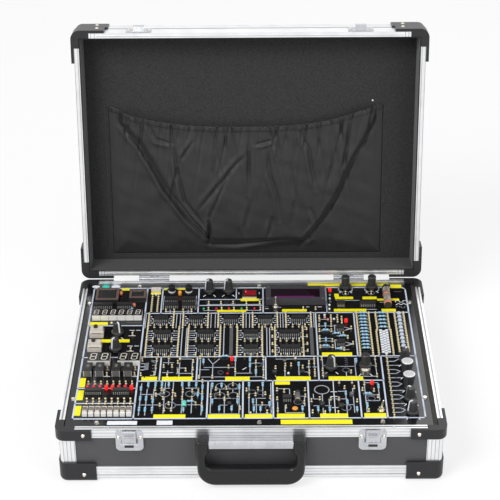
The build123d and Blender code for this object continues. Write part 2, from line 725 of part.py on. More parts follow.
def latch_lever(x):
    """Flat lever with a barrel at its foot and a rolled tip."""
    with BuildPart() as lever:
        with BuildSketch(profile_plane(x, LEVER_AXIS_DROP)):
            with Locations((LEVER_AXIS_OUT - LEVER_PLATE / 2, 0)):
                Rectangle(LEVER_PLATE, LEVER_TALL - LEVER_ROLL, align=(Align.MIN, Align.MIN))
            with Locations((LEVER_AXIS_OUT, LEVER_TALL - LEVER_ROLL)):
                Circle(LEVER_ROLL)
            with Locations((LEVER_AXIS_OUT, 0)):
                Circle(LEVER_BARREL)
                Circle(PIN_RADIUS + PIN_FIT, mode=Mode.SUBTRACT)
        extrude(amount=LEVER_WIDE / 2, both=True)
    return lever


for name, x in (("left", -LATCH_X), ("right", LATCH_X)):
    save(latch_lever(x), f"latch_lever_{name}")


def lid_front_plane(x):
    """On the lid's free side: x along it, y into the lid's depth, z away from it."""
    return local(LID, (x, DEPTH / 2, 0), x_dir=(1, 0, 0), z_dir=(0, 1, 0))


with BuildPart() as lid_keepers:
    for x in (-LATCH_X, LATCH_X):
        plane = lid_front_plane(x)
        with BuildSketch(local(plane, (0, 1 + KEEPER_TALL / 2, 0))):
            RectangleRounded(LATCH_WIDE, KEEPER_TALL, 4)
        extrude(amount=LATCH_PLATE)
        with BuildSketch(local(plane, (0, 0, 0), x_dir=(0, 0, 1), z_dir=(1, 0, 0))):
            rise = KEEPER_OUT - LATCH_PLATE
            with BuildLine():
                Polyline(
                    (LATCH_PLATE, -3),
                    (KEEPER_OUT, -3 - rise / 2),
                    (KEEPER_OUT, -KEEPER_TALL * 0.7),
                    (KEEPER_OUT - LATCH_PLATE, -KEEPER_TALL * 0.7),
                    (KEEPER_OUT - LATCH_PLATE, -4 - rise / 2),
                    (LATCH_PLATE, -3 - 2 * LATCH_PLATE),
                    close=True,
                )
            make_face()
        extrude(amount=KEEPER_HOOK / 2, both=True)
save(lid_keepers, "lid_keepers")

# -------------------------------------------------------------------- handle
def handle_plane(along=0.0):
    """Across the handle's pivot axis: x towards the user, y up, the axis at its origin."""
    return local(profile_plane(along, HANDLE_AXIS_DROP), (HANDLE_OUT, 0, 0))


def hood_section(inset):
    """Outline of the bracket's hood over the pin, drawn inward by inset."""
    lip = BRACKET_LIP - inset
    with BuildSketch() as section:
        with BuildLine():
            Line((inset - HANDLE_OUT, lip), (0, lip))
            RadiusArc((0, lip), (lip, 0), lip)
            Line((lip, 0), (lip - 1, -BRACKET_LIP))
            Line((lip - 1, -BRACKET_LIP), (inset - HANDLE_OUT, BRACKET_LIP - BRACKET_TALL + 2 * inset))
            Line((inset - HANDLE_OUT, BRACKET_LIP - BRACKET_TALL + 2 * inset), (inset - HANDLE_OUT, lip))
        make_face()
    return section.sketch


with BuildPart() as handle_bracket:
    extrude(handle_plane() * hood_section(0), amount=BRACKET_WIDE / 2, both=True)
    hollow = BRACKET_WIDE / 2 - BRACKET_CHEEK
    extrude(handle_plane() * hood_section(BRACKET_PLATE), amount=hollow, both=True, mode=Mode.SUBTRACT)
    with BuildSketch(handle_plane()):
        Circle(HANDLE_PIN + PIN_FIT)
    extrude(amount=BRACKET_WIDE, both=True, mode=Mode.SUBTRACT)
    with BuildSketch(front_plane(drop=HANDLE_AXIS_DROP - BRACKET_LIP + BRACKET_TALL)):
        wide, narrow, rise = BRACKET_NOTCH
        with BuildLine():
            Polyline((-wide, 0), (-narrow, rise), (narrow, rise), (wide, 0), (0, -rise), close=True)
        make_face()
    extrude(amount=HANDLE_OUT + BRACKET_LIP, mode=Mode.SUBTRACT)
save(handle_bracket, "handle_bracket")

grip_low = HANDLE_REACH + GRIP_TALL / 2
grip_top = HANDLE_REACH - GRIP_TALL / 2
half = HANDLE_WIDE / 2
shoulder = half - HANDLE_SHOULDER
arm = half - HANDLE_TAPER / 2 - HANDLE_ARM
with BuildPart() as handle_grip:
    with BuildSketch(front_plane(out=HANDLE_OUT, drop=HANDLE_AXIS_DROP)) as loop:
        with BuildLine():
            Polyline(
                (shoulder, HANDLE_TOP),
                (half, HANDLE_TOP),
                (half, -HANDLE_STEP),
                (half - HANDLE_TAPER, -grip_low),
                (HANDLE_TAPER - half, -grip_low),
                (-half, -HANDLE_STEP),
                (-half, HANDLE_TOP),
                (-shoulder, HANDLE_TOP),
                (-shoulder, -HANDLE_STEP),
                (-arm, -1.8 * HANDLE_STEP),
                (-arm, -grip_top),
                (arm, -grip_top),
                (arm, -1.8 * HANDLE_STEP),
                (shoulder, -HANDLE_STEP),
                close=True,
            )
        make_face()
        fillet(loop.vertices().sort_by(Axis.Y)[:2], HANDLE_OUTER_ROUND)
        inner = loop.vertices().filter_by(lambda v: abs(abs(v.X) - arm) < PIN_FIT)
        fillet(inner.sort_by(Axis.Y)[:2], HANDLE_INNER_ROUND)
        fillet(loop.vertices().filter_by(lambda v: v.Y > 0 and abs(v.X) > shoulder + 1), HANDLE_EDGE)
    extrude(amount=HANDLE_THICK / 2, both=True)
    faces = handle_grip.faces().filter_by(Axis.Y)
    fillet(faces.edges(), HANDLE_EDGE)
    with BuildSketch(handle_plane()):
        Circle(HANDLE_PIN + PIN_FIT)
    extrude(amount=half - PIN_COVER, both=True, mode=Mode.SUBTRACT)
save(handle_grip, "handle_grip")

with BuildPart() as pivot_pins:
    for x in (-HINGE_X, HINGE_X):
        with BuildSketch(Plane(HINGE_AXIS + Vector(x, 0, 0), x_dir=(0, 1, 0), z_dir=(1, 0, 0))):
            Circle(PIN_RADIUS)
        extrude(amount=HINGE_WIDE / 2, both=True)
    for x in (-LATCH_X, LATCH_X):
        with BuildSketch(profile_plane(x, LEVER_AXIS_DROP)):
            with Locations((LEVER_AXIS_OUT, 0)):
                Circle(PIN_RADIUS)
        extrude(amount=LEVER_WIDE / 2 + SIDE_PLAY + EAR_THICK, both=True)
    with BuildSketch(handle_plane()):
        Circle(HANDLE_PIN)
    extrude(amount=half - PIN_COVER - SIDE_PLAY, both=True)
save(pivot_pins, "pivot_pins")

# -------------------------------------------------------------------- rivets
rim_rivet_drop = BASE_CORNER_TALL / 2
foot_rivet_drop = BASE_HEIGHT - BASE_BALL_TALL / 3
plate_rivet_x = LATCH_WIDE / 2 - RIVET_HEAD / 2 - 1
hinge_rivet_x = HINGE_WIDE / 3
hinge_rivet_drop = HINGE_TALL * 0.7
base_rivet_seats = corner_rivet_seats(BASE, rim_rivet_drop, foot_rivet_drop)
lid_rivet_seats = corner_rivet_seats(LID, LID_FLANGE / 2, (LID_HEIGHT + LID_FLANGE) / 2)
for side in (-1, 1):
    for way in (-1, 1):
        latch_x = side * LATCH_X + way * plate_rivet_x
        hinge_x = side * HINGE_X + way * hinge_rivet_x
        base_rivet_seats.append(front_plane(latch_x, LATCH_PLATE, LATCH_DROP + 0.35 * LATCH_TALL))
        base_rivet_seats.append(outside_seat(BASE, 180, hinge_x, hinge_rivet_drop, HINGE_LEAF))
        keeper = lid_front_plane(latch_x)
        lid_rivet_seats.append(local(keeper, (0, KEEPER_TALL / 2, LATCH_PLATE)))
        lid_rivet_seats.append(outside_seat(LID, 0, hinge_x, hinge_rivet_drop, HINGE_LEAF))
base_rivets = rivet_heads(base_rivet_seats)
save(base_rivets, "base_rivets")
lid_rivets = rivet_heads(lid_rivet_seats)
save(lid_rivets, "lid_rivets")

# ------------------------------------------------------------ board and rails
with BuildPart() as circuit_board:
    with BuildSketch(BOARD):
        Rectangle(BOARD_WIDE, BOARD_DEEP)
    extrude(amount=-BOARD_THICK)
    with BuildSketch(BOARD):
        with Locations(*SCREW_SPOTS):
            Circle(SCREW_SHANK / 2 + 2 * PIN_FIT)
    extrude(amount=-BOARD_THICK, mode=Mode.SUBTRACT)
save(circuit_board, "circuit_board")

with BuildPart() as board_screws:
    with BuildSketch(BOARD):
        with Locations(*SCREW_SPOTS):
            Circle(SCREW_HEAD / 2)
    extrude(amount=SCREW_HEAD / 3, taper=20)
    with BuildSketch(BOARD):
        with Locations(*SCREW_SPOTS):
            Circle(SCREW_SHANK / 2)
    extrude(amount=-SCREW_LONG)
save(board_screws, "board_screws")

with BuildPart() as board_rails:
    top = BOARD_SINK + BOARD_THICK
    start = RIM_WIDE + FELT_FIT
    for turn in SIDES:
        inset = start if turn % 180 == 0 else start + RAIL + FELT_FIT
        with BuildSketch(side_plane(BASE, turn, drop=top)):
            with Locations((start, 0)):
                Rectangle(RAIL, RAIL, align=(Align.MIN, Align.MAX))
        extrude(amount=side_span(turn) / 2 - inset, both=True)
    with BuildSketch(BOARD.offset(-BOARD_THICK)):
        with Locations(*SCREW_SPOTS):
            Circle(SCREW_SHANK / 2 + PIN_FIT)
    extrude(amount=-SCREW_LONG, mode=Mode.SUBTRACT)
save(board_rails, "board_rails")


# --------------------------------------------------------------------- knobs
def on_board(at, lift=0.0):
    """A level plane at a place on the board."""
    return local(BOARD, (at[0], at[1], lift))


def knob(at, radii, lift):
    """Skirted knob: radii of the skirt, of the waist above it and of the top."""
    skirt, waist, top = radii
    section = local(BOARD, (at[0], at[1], lift), x_dir=(1, 0, 0), z_dir=(0, -1, 0))
    with BuildPart() as turned:
        with BuildSketch(section):
            with BuildLine():
                Polyline(
                    (0, KNOB_BORE),
                    (POT_SHAFT + PIN_FIT, KNOB_BORE),
                    (POT_SHAFT + PIN_FIT, 0),
                    (skirt, 0),
                    (skirt, KNOB_SKIRT_HIGH),
                    (waist, KNOB_SKIRT_HIGH + 1),
                    (top, KNOB_HIGH - KNOB_TOP_ROUND),
                    (top - KNOB_TOP_ROUND, KNOB_HIGH),
                    (0, KNOB_HIGH),
                    close=True,
                )
            make_face()
        revolve(axis=Axis(section.origin, section.y_dir))
    return turned


for name, (at, radii, lift) in KNOBS.items():
    save(knob(at, radii, lift), name)


# ------------------------------------------------------------------- toggles
def toggle_plane(at, about, lean):
    """Up the lever of a toggle that leans about the x or the y axis."""
    lean = radians(lean)
    up = (about[1] * sin(lean), about[0] * sin(lean), cos(lean))
    return local(BOARD, (at[0], at[1], TOGGLE_BUSH_HIGH), x_dir=(about[0], about[1], 0), z_dir=up)


for name, (at, about) in TOGGLES.items():
    with BuildPart() as lever:
        with BuildSketch(toggle_plane(at, about, TOGGLE_LEAN)):
            Circle(TOGGLE_RADIUS)
        extrude(amount=TOGGLE_LONG)
        fillet(lever.edges().sort_by(Axis.Z)[-1], TOGGLE_RADIUS * 0.6)
        pivot = (at[0], at[1], TOGGLE_BUSH_HIGH)
        with BuildSketch(local(BOARD, pivot, x_dir=(0, 0, 1), z_dir=(about[0], about[1], 0))):
            Circle(TOGGLE_PIVOT)
        extrude(amount=TOGGLE_PIVOT, both=True)
    save(lever, name)

with BuildPart() as control_bushes:
    for at, radii, lift in KNOBS.values():
        with BuildSketch(on_board(at)):
            RegularPolygon(BUSH_RADIUS + 1, 6)
        extrude(amount=BUSH_HIGH)
        if lift > KNOB_LIFT:
            with BuildSketch(on_board(at)):
                Circle(DOME_RADIUS)
            extrude(amount=lift / 3)
            with BuildSketch(on_board(at, lift / 3)):
                Circle(DOME_RADIUS - 1)
            extrude(amount=lift / 2, taper=25)
        with BuildSketch(on_board(at, BUSH_HIGH)):
            Circle(POT_SHAFT)
        extrude(amount=lift + KNOB_BORE - BUSH_HIGH - SIDE_PLAY)
    for at, about in TOGGLES.values():
        with BuildSketch(on_board(at)):
            RegularPolygon(TOGGLE_NUT / 2, 6, major_radius=False)
        extrude(amount=TOGGLE_BUSH_HIGH / 2)
        with BuildSketch(on_board(at)):
            Circle(TOGGLE_BUSH)
        extrude(amount=TOGGLE_BUSH_HIGH)
        with BuildSketch(on_board(at, TOGGLE_BUSH_HIGH)):
            Circle(TOGGLE_SEAT)
        extrude(amount=-TOGGLE_BUSH_HIGH / 2, mode=Mode.SUBTRACT)
save(control_bushes, "control_bushes")


# ------------------------------------------------------------ slide switches
def block(at, size, lift=0.0):
    """A plain box standing over a place on the board."""
    with BuildPart() as solid:
        with Locations(on_board(at, lift)):
            Box(*size, align=(Align.CENTER, Align.CENTER, Align.MIN))
    return solid.part


for number, (x, y) in enumerate(SLIDE_SPOTS):
    lift = SLIDE_FLOOR + PIN_FIT
    with BuildPart() as actuator:
        add(block((x, y - SLIDE_TRAVEL / 2), (*SLIDE_KNOB, SLIDE_KNOB_HIGH - lift), lift))
        chamfer(actuator.faces().sort_by(Axis.Z)[-1].edges(), 0.4)
    save(actuator, f"slide_actuator_{number + 1}")

# -------------------------------------------------------------------- rocker
rocker_pivot = on_board(ROCKER_AT, ROCKER_LIFT)
tilt = radians(ROCKER_TILT)
rocker_side = local(rocker_pivot, (0, 0, 0), x_dir=(cos(tilt), 0, -sin(tilt)), z_dir=(0, -1, 0))
reach = ROCKER_KEY[0] / 2
with BuildPart() as power_rocker:
    with BuildSketch(rocker_side):
        with BuildLine():
            Line((-reach, 0), (-reach, ROCKER_WING))
            ThreePointArc((-reach, ROCKER_WING), (0, ROCKER_DIP), (reach, ROCKER_WING))
            Line((reach, ROCKER_WING), (reach, 0))
            ThreePointArc((reach, 0), (0, -ROCKER_LIFT / 2), (-reach, 0))
        make_face()
    extrude(amount=ROCKER_KEY[1] / 2, both=True)
    with BuildSketch(rocker_side):
        Circle(ROCKER_AXLE)
    extrude(amount=ROCKER_KEY[1] / 2 + ROCKER_STUB, both=True)
save(power_rocker, "power_rocker")

# -------------------------------------------------------------- push buttons
for name, (x, y) in BUTTON_SPOTS.items():
    plunger_at = (x + BUTTON_CAP[0], y + BUTTON_CAP[1])
    with BuildPart() as button:
        with BuildSketch(on_board(plunger_at, BUTTON_TOWER[2] - BUTTON_FOOT)):
            Circle(BUTTON_PLUNGER)
        extrude(amount=BUTTON_FOOT + BUTTON_OUT)
        fillet(button.edges().sort_by(Axis.Z)[-1], 0.6)
    save(button, name)

with BuildPart() as switch_bodies:
    for at in SLIDE_SPOTS:
        add(block(at, SLIDE_BODY))
        slot = (SLIDE_KNOB[0] + 4 * PIN_FIT, SLIDE_SLOT, SLIDE_BODY[2])
        add(block(at, slot, SLIDE_FLOOR), mode=Mode.SUBTRACT)
    add(block(ROCKER_AT, ROCKER_BODY))
    well = (ROCKER_KEY[0] + 2 * ROCKER_ROOM, ROCKER_KEY[1] + 4 * PIN_FIT, ROCKER_BODY[2])
    add(block(ROCKER_AT, well, ROCKER_FLOOR), mode=Mode.SUBTRACT)
    with BuildSketch(rocker_side):
        Circle(ROCKER_AXLE + PIN_FIT)
    extrude(amount=ROCKER_KEY[1] / 2 + ROCKER_STUB + PIN_FIT, both=True, mode=Mode.SUBTRACT)
    for x, y in BUTTON_SPOTS.values():
        add(block((x, y), BUTTON_BODY))
        add(block((x, y + BUTTON_CAP[1]), BUTTON_TOWER))
        with BuildSketch(on_board((x + BUTTON_CAP[0], y + BUTTON_CAP[1]), BUTTON_TOWER[2])):
            Circle(BUTTON_PLUNGER + PIN_FIT)
        extrude(amount=-BUTTON_FOOT - BUTTON_PRESS, mode=Mode.SUBTRACT)
save(switch_bodies, "switch_bodies")

# ------------------------------------------------------------------ displays
with BuildPart() as display_module:
    add(block(DISPLAY_AT, DISPLAY))
    glass = (*DISPLAY_WINDOW, DISPLAY_SINK)
    add(block(DISPLAY_AT, glass, DISPLAY[2] - DISPLAY_SINK), mode=Mode.SUBTRACT)
save(display_module, "display_module")

with BuildPart() as digit_displays:
    for number in range(DIGIT_COUNT):
        along = (number - (DIGIT_COUNT - 1) / 2) * DIGIT_PITCH
        add(block((DIGITS_AT[0] + along, DIGITS_AT[1]), DIGIT_BODY))
    for x, y in PAIR_SPOTS:
        for side in (-1, 1):
            add(block((x + side * BIG_DIGIT_PITCH / 2, y), BIG_DIGIT_BODY))
save(digit_displays, "digit_displays")

# ---------------------------------------------------------- chips and sockets
with BuildPart() as chip_packages:
    for pins, spots in CHIP_SPOTS.items():
        length = pins * CHIP_PITCH + 1
        for at in spots:
            add(block(at, (length, *CHIP_SOCKET)))
            add(block(at, (length - 2 * CHIP_END, CHIP_WIDE, CHIP_HIGH), CHIP_SOCKET[1] - 1))
    for at, size in SOCKET_SPOTS:
        add(block(at, (*size, SOCKET_HIGH)))
        seat = (size[0] - 2 * SOCKET_FRAME, size[1] - 2 * SOCKET_FRAME, SOCKET_HIGH)
        add(block(at, seat, SOCKET_HIGH - SOCKET_SINK), mode=Mode.SUBTRACT)
    for at in THUMB_SPOTS:
        add(block(at, THUMB_BODY))
    with BuildSketch(BOARD):
        with Locations(*CAN_SPOTS):
            Circle(CAN_RADIUS)
    extrude(amount=CAN_HIGH)
    for (x, y), (radius, length) in LYING_PARTS:
        with BuildSketch(local(BOARD, (x, y, radius), x_dir=(1, 0, 0), z_dir=(0, -1, 0))):
            Circle(radius)
            with Locations((0, -radius)):
                Rectangle(radius, radius, align=(Align.CENTER, Align.MIN))
        extrude(amount=length / 2, both=True)
save(chip_packages, "chip_packages")

with BuildPart() as small_components:
    with BuildSketch(BOARD):
        with Locations(*LED_SPOTS):
            Circle(LED_RADIUS)
    extrude(amount=LED_HIGH)
    fillet(small_components.faces().group_by(Axis.Z)[-1].edges(), LED_RADIUS * 0.8)
save(small_components, "small_components")

# --------------------------------------------------------------- mains inlet
with BuildPart() as mains_inlet:
    seat = outside_seat(BASE, 180, INLET_ALONG, INLET_DROP, -SKIN - SLOT_FIT)
    with BuildSketch(seat):
        RectangleRounded(INLET_FLANGE[0], INLET_FLANGE[1], INLET_ROUND)
    extrude(amount=INLET_FLANGE[2])
    with BuildSketch(seat):
        Rectangle(INLET_WIDE, INLET_TALL)
    extrude(amount=-INLET_BODY)
    mouth = local(seat, (0, 0, INLET_FLANGE[2]))
    with BuildSketch(mouth):
        Rectangle(*INLET_MOUTH)
    extrude(amount=-INLET_MOUTH_DEEP, mode=Mode.SUBTRACT)
    with BuildSketch(local(mouth, (0, 0, -INLET_MOUTH_DEEP))):
        for side in (-1, 0, 1):
            with Locations((side * INLET_PIN_PITCH, INLET_PIN_RISE * (1 - 2 * abs(side)))):
                Rectangle(INLET_PIN[1], INLET_PIN[0])
    extrude(amount=INLET_PIN[2])
save(mains_inlet, "mains_inlet")

# -------------------------------------------------------------- power supply
with BuildPart() as power_supply:
    add(block(SUPPLY_AT, SUPPLY, SUPPLY_FLOOR))
    hollow = (SUPPLY[0] + 2 * SUPPLY_SHEET, SUPPLY[1] - 2 * SUPPLY_SHEET, SUPPLY[2])
    add(block(SUPPLY_AT, hollow, SUPPLY_FLOOR + SUPPLY_SHEET), mode=Mode.SUBTRACT)
    core_at = (SUPPLY_AT[0] - SUPPLY[0] / 4, SUPPLY_AT[1])
    coil = (CORE[0] - 2 * CORE_LEG, CORE[1] + 2 * COIL_PROUD, CORE[2] - CORE_LEG)
    add(block(core_at, CORE, SUPPLY_FLOOR))
    add(block(core_at, coil, SUPPLY_FLOOR))
    for row in (-1, 0, 1):
        can_at = (SUPPLY_AT[0] + SUPPLY[0] / 4, SUPPLY_AT[1] + row * SUPPLY_CAN_PITCH)
        with BuildSketch(on_board(can_at, SUPPLY_FLOOR)):
            Circle(SUPPLY_CAN[0])
        extrude(amount=SUPPLY_CAN[1])
save(power_supply, "power_supply")

# ---------------------------------------------------------------- lid's felt
felt_width = WIDTH - 2 * (RIM_WIDE + FELT_FIT)
felt_depth = DEPTH - 2 * (RIM_WIDE + FELT_FIT)
felt_floor = -LID_HEIGHT + RIM_WIDE + FELT_FIT
with BuildPart() as lid_lining:
    with BuildSketch(local(LID, (0, 0, felt_floor))):
        Rectangle(felt_width, felt_depth)
    extrude(amount=-felt_floor - FELT)
    with BuildSketch(local(LID, (0, 0, felt_floor + FELT))):
        Rectangle(felt_width - 2 * FELT, felt_depth - 2 * FELT)
    extrude(amount=-felt_floor, mode=Mode.SUBTRACT)
save(lid_lining, "lid_lining")


# -------------------------------------------------------------------- pocket
def ease(value):
    """A smooth step from 0 to 1."""
    value = min(max(value, 0), 1)
    return value * value * (3 - 2 * value)


def inside_belly(x, y):
    """How far a place on the pocket lies inside the lines that bound its belly."""
    room = [y - POCKET_LOW - POCKET_HEM]
    for side, ((x0, y0), (x1, y1)) in ((-1, BELLY_LEFT), (1, BELLY_RIGHT)):
        inward = Vector(-side * (y0 - y1), abs(x1 - x0)).normalized()
        room.append(Vector(x - x0, y - y0).dot(inward))
    return min(room)


def pocket_points(across):
    """Up one line of the pocket: places along the lid and heights above its seat."""
    x = POCKET_LEFT + (POCKET_RIGHT - POCKET_LEFT) * across
    top = POCKET_HIGH - POCKET_SAG * sin(pi * across) ** 2
    gather = POCKET_GATHER_DEEP * cos(2 * pi * POCKET_GATHERS * across)
    seam = POCKET_LOW + POCKET_HEM
    points = [(POCKET_LOW, 0), (POCKET_LOW + POCKET_HEM / 2, 0)]
    for row in range(POCKET_ROWS + 1):
        up = row / POCKET_ROWS
        y = seam + (top - seam) * up
        hem = min(x - POCKET_LEFT, POCKET_RIGHT - x, y - POCKET_LOW) - POCKET_HEM
        belly = ease(inside_belly(x, y) / POCKET_RISE)
        slack = POCKET_FLAT + (POCKET_BULGE - POCKET_FLAT) * belly
        points.append((y, ease(hem / POCKET_EASE) * (slack + gather * belly * exp(3 * (up - 1)))))
    return points


with BuildPart() as lid_pocket:
    for column in range(POCKET_COLUMNS + 1):
        across = column / POCKET_COLUMNS
        x = POCKET_LEFT + (POCKET_RIGHT - POCKET_LEFT) * across
        seat = felt_floor + FELT + POCKET_SEAT
        inside = pocket_points(across)
        outside = [(y, height + POCKET_CLOTH) for y, height in reversed(inside)]
        with BuildSketch(local(LID, (x, 0, seat), x_dir=(0, 1, 0), z_dir=(1, 0, 0))):
            with BuildLine():
                Spline(*inside)
                Line(inside[-1], outside[0])
                Spline(*outside)
                Line(outside[-1], inside[0])
            make_face()
    loft(ruled=True)
save(lid_pocket, "lid_pocket")
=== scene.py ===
import json
import math

import bmesh
import bpy
import numpy as np
from mathutils import Matrix, Vector


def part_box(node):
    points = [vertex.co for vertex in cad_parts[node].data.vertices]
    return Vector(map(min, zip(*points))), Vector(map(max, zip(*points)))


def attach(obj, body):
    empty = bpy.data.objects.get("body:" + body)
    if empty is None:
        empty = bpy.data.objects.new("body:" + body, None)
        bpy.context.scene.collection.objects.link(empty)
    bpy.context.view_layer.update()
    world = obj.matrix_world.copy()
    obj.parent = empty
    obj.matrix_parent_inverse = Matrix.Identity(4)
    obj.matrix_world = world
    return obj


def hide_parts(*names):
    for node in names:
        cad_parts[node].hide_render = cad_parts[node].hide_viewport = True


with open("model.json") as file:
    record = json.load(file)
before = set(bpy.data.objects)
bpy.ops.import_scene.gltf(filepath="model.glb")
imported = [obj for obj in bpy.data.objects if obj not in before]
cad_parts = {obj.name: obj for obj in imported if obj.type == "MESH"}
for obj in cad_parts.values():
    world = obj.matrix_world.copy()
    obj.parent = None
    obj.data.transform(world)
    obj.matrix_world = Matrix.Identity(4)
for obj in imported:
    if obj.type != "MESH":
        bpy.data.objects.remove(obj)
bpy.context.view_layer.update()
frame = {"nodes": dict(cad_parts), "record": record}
MM = 0.001
SIDES = (-1, 1)
CHIP_PITCH = 2.54
SWITCHES = [-198.3 + i * 7.62 for i in range(8)]  # middles of the slide switches
LAMPS = [-199.7 + i * 7.75 for i in range(8)]  # and of the row of lamps
PRINT = 0.12  # height of a printed line

# The board's own place: its middle, and the height of its top.
board_low, board_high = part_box("circuit_board")
BX = (board_low[0] + board_high[0]) / 2
BY = (board_low[1] + board_high[1]) / 2
BZ = board_high[2]

# The lid's own place: how far it leans, its hinge line and its middle.
LEAN = math.radians(9)
LID_UP = Vector((0, math.sin(LEAN), math.cos(LEAN)))
LID_OUT = Vector((0, math.cos(LEAN), -math.sin(LEAN)))
HINGE = Vector((0, 0.128781, 0.07765))
HINGE_TO_MIDDLE = 0.1748
HALF_GAP = 0.00015
LID_MIDDLE = HINGE + LID_UP * HINGE_TO_MIDDLE + LID_OUT * HALF_GAP
FELT_DEPTH = 41.9  # from the lid's rim to its lining


def on_board(x, y, z=0.0):
    """Millimetres from the middle of the board's top, as a place in the frame."""
    return Vector((BX + x * MM, BY + y * MM, BZ + z * MM))


def on_lid(x, y, z=0.0):
    """Millimetres from the middle of the lid, z above its lining, as a place in the frame."""
    return LID_MIDDLE + Vector((x * MM, 0, 0)) + LID_UP * (y * MM) + LID_OUT * ((FELT_DEPTH - z) * MM)


def in_frame(x, y, z=0.0):
    return Vector((x * MM, y * MM, z * MM))


def top_of(name):
    """A node's middle and the height of its top, in millimetres on the board."""
    low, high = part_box(name)
    return ((low[0] + high[0]) / 2 - BX) / MM, ((low[1] + high[1]) / 2 - BY) / MM, (high[2] - BZ) / MM


# ------------------------------------------------------------------ materials
def nodes_of(name):
    material = bpy.data.materials.new(name)
    material.use_nodes = True
    tree = material.node_tree
    return material, tree, tree.nodes["Principled BSDF"]


def put(made, *sources, **values):
    """Fills in a node: settings have small letters, inputs have capitals or come in order, and
    an output given for an input is linked."""
    for key, value in [*values.items(), *enumerate(sources)]:
        if isinstance(key, str) and key[0].islower():
            setattr(made, key, value)
            continue
        socket = made.inputs[key.replace("_", " ") if isinstance(key, str) else key]
        if isinstance(value, bpy.types.NodeSocket):
            made.id_data.links.new(value, socket)
        else:
            socket.default_value = value
    return made


def node(tree, kind, *sources, **values):
    return put(tree.nodes.new("ShaderNode" + kind), *sources, **values)


def calc(tree, operation, *values):
    return node(tree, "Math", *values, operation=operation).outputs[0]


def place_in(tree):
    return node(tree, "TexCoord").outputs["Object"]


def axes(tree):
    return node(tree, "SeparateXYZ", place_in(tree)).outputs


def coordinates(tree, scale=(1, 1, 1)):
    """Object coordinates in millimetres, stretched by scale."""
    scale = [1000 * part for part in scale]
    return node(tree, "Mapping", Vector=place_in(tree), Scale=scale).outputs["Vector"]


def noise(tree, vector, scale, detail=3.0, roughness=0.5):
    made = node(tree, "TexNoise", Vector=vector, Scale=scale, Detail=detail, Roughness=roughness)
    return made.outputs["Fac"]


def waves(tree, directions, **values):
    """Bands across each of the directions."""
    vector = coordinates(tree)
    made = [node(tree, "TexWave", Vector=vector, bands_direction=way, **values) for way in directions]
    return [wave.outputs["Fac"] for wave in made]


def ramp(tree, value, stops):
    made = node(tree, "ValToRGB", value)
    for element, (place, color) in zip(made.color_ramp.elements, stops):
        element.position = place
        element.color = (*color, 1.0)
    return made.outputs["Color"]


def varied(color, low=0.85, high=1.12):
    """Two shades round a colour, for a ramp."""
    dark = tuple(part * low for part in color)
    light = tuple(min(part * high, 1.0) for part in color)
    return [(0.32, dark), (0.68, light)]


def bump(tree, height, strength, distance):
    return node(tree, "Bump", Height=height, Strength=strength, Distance=distance * MM).outputs["Normal"]


def rough(tree, value, low, high):
    made = node(tree, "MapRange", Value=value, To_Min=max(low, 0.02), To_Max=min(high, 1.0))
    return made.outputs["Result"]


def surface(name, color, roughness, metallic=0.0, grain=0.5, stretch=(1, 1, 1), depth=0.02,
            strength=0.3, low=0.85, high=1.12, **sockets):
    """A finish with a fine grain in its colour, its roughness and its surface."""
    material, tree, shader = nodes_of(name)
    vector = coordinates(tree, stretch)
    fine = noise(tree, vector, grain, 4.0)
    coarse = noise(tree, vector, grain * 0.11, 2.0)
    both = calc(tree, "MULTIPLY_ADD", fine, 0.5, calc(tree, "MULTIPLY", coarse, 0.5))
    put(shader, Base_Color=ramp(tree, both, varied(color, low, high)), Metallic=metallic,
        Roughness=rough(tree, fine, roughness - 0.06, roughness + 0.06),
        Normal=bump(tree, fine, strength, depth), **sockets)
    return material


def laminate(name, color):
    """Wall board with a small raised grain."""
    material, tree, shader = nodes_of(name)
    vector = coordinates(tree)
    cells = node(tree, "TexVoronoi", Vector=vector, Scale=0.85).outputs["Distance"]
    tone = noise(tree, vector, 0.02)
    put(shader, Base_Color=ramp(tree, tone, varied(color, 0.92, 1.08)),
        Normal=bump(tree, cells, 0.5, 0.12), Roughness=rough(tree, cells, 0.48, 0.6))
    return material


# Where the lengths of aluminium stand upright: the base's posts, and the open lid's sides.
POST_LOW, POST_HIGH = 0.027, 0.060
LID_SIDE_LOW, LID_SIDE_X = 0.081, 0.200


def metal_extrusion(name, color, low, high, lines, pitch):
    """Drawn aluminium: rolled grooves shown as dark bands of painted shade, fine lines along each length, and
    a soft unevenness.
    """
    material, tree, shader = nodes_of(name)
    across = noise(tree, coordinates(tree, lines), 1.0, 5.0, 0.6)
    along = noise(tree, coordinates(tree, (0.5, 0.5, 0.5)), 0.08)
    level, upright = waves(tree, "ZX", Scale=math.pi / 10 / pitch)
    parts = axes(tree)
    x, z = parts["X"], parts["Z"]
    above, below = calc(tree, "GREATER_THAN", z, POST_LOW), calc(tree, "LESS_THAN", z, POST_HIGH)
    post = calc(tree, "MULTIPLY", above, below)
    outer = calc(tree, "GREATER_THAN", calc(tree, "ABSOLUTE", x), LID_SIDE_X)
    lid_side = calc(tree, "MULTIPLY", calc(tree, "GREATER_THAN", z, LID_SIDE_LOW), outer)
    choose = node(tree, "Mix", calc(tree, "MAXIMUM", lid_side, post), data_type="FLOAT")
    tree.links.new(level, choose.inputs[2])
    tree.links.new(upright, choose.inputs[3])
    tint = node(tree, "Mix", 1.0, data_type="RGBA", blend_type="MULTIPLY")
    tree.links.new(ramp(tree, along, varied(color, 0.93, 1.05)), tint.inputs[6])
    # Painted shade: the colour darkens in thin bands where the grooves lie, with no relief of their own.
    groove_shade = ramp(tree, choose.outputs[0], [(0.0, (0.30, 0.30, 0.32)), (0.08, (1.0, 1.0, 1.0))])
    tree.links.new(groove_shade, tint.inputs[7])
    put(shader, Base_Color=tint.outputs[2], Roughness=rough(tree, across, low, high),
        Normal=bump(tree, across, 0.25, 0.03), Metallic=0.9)
    return material


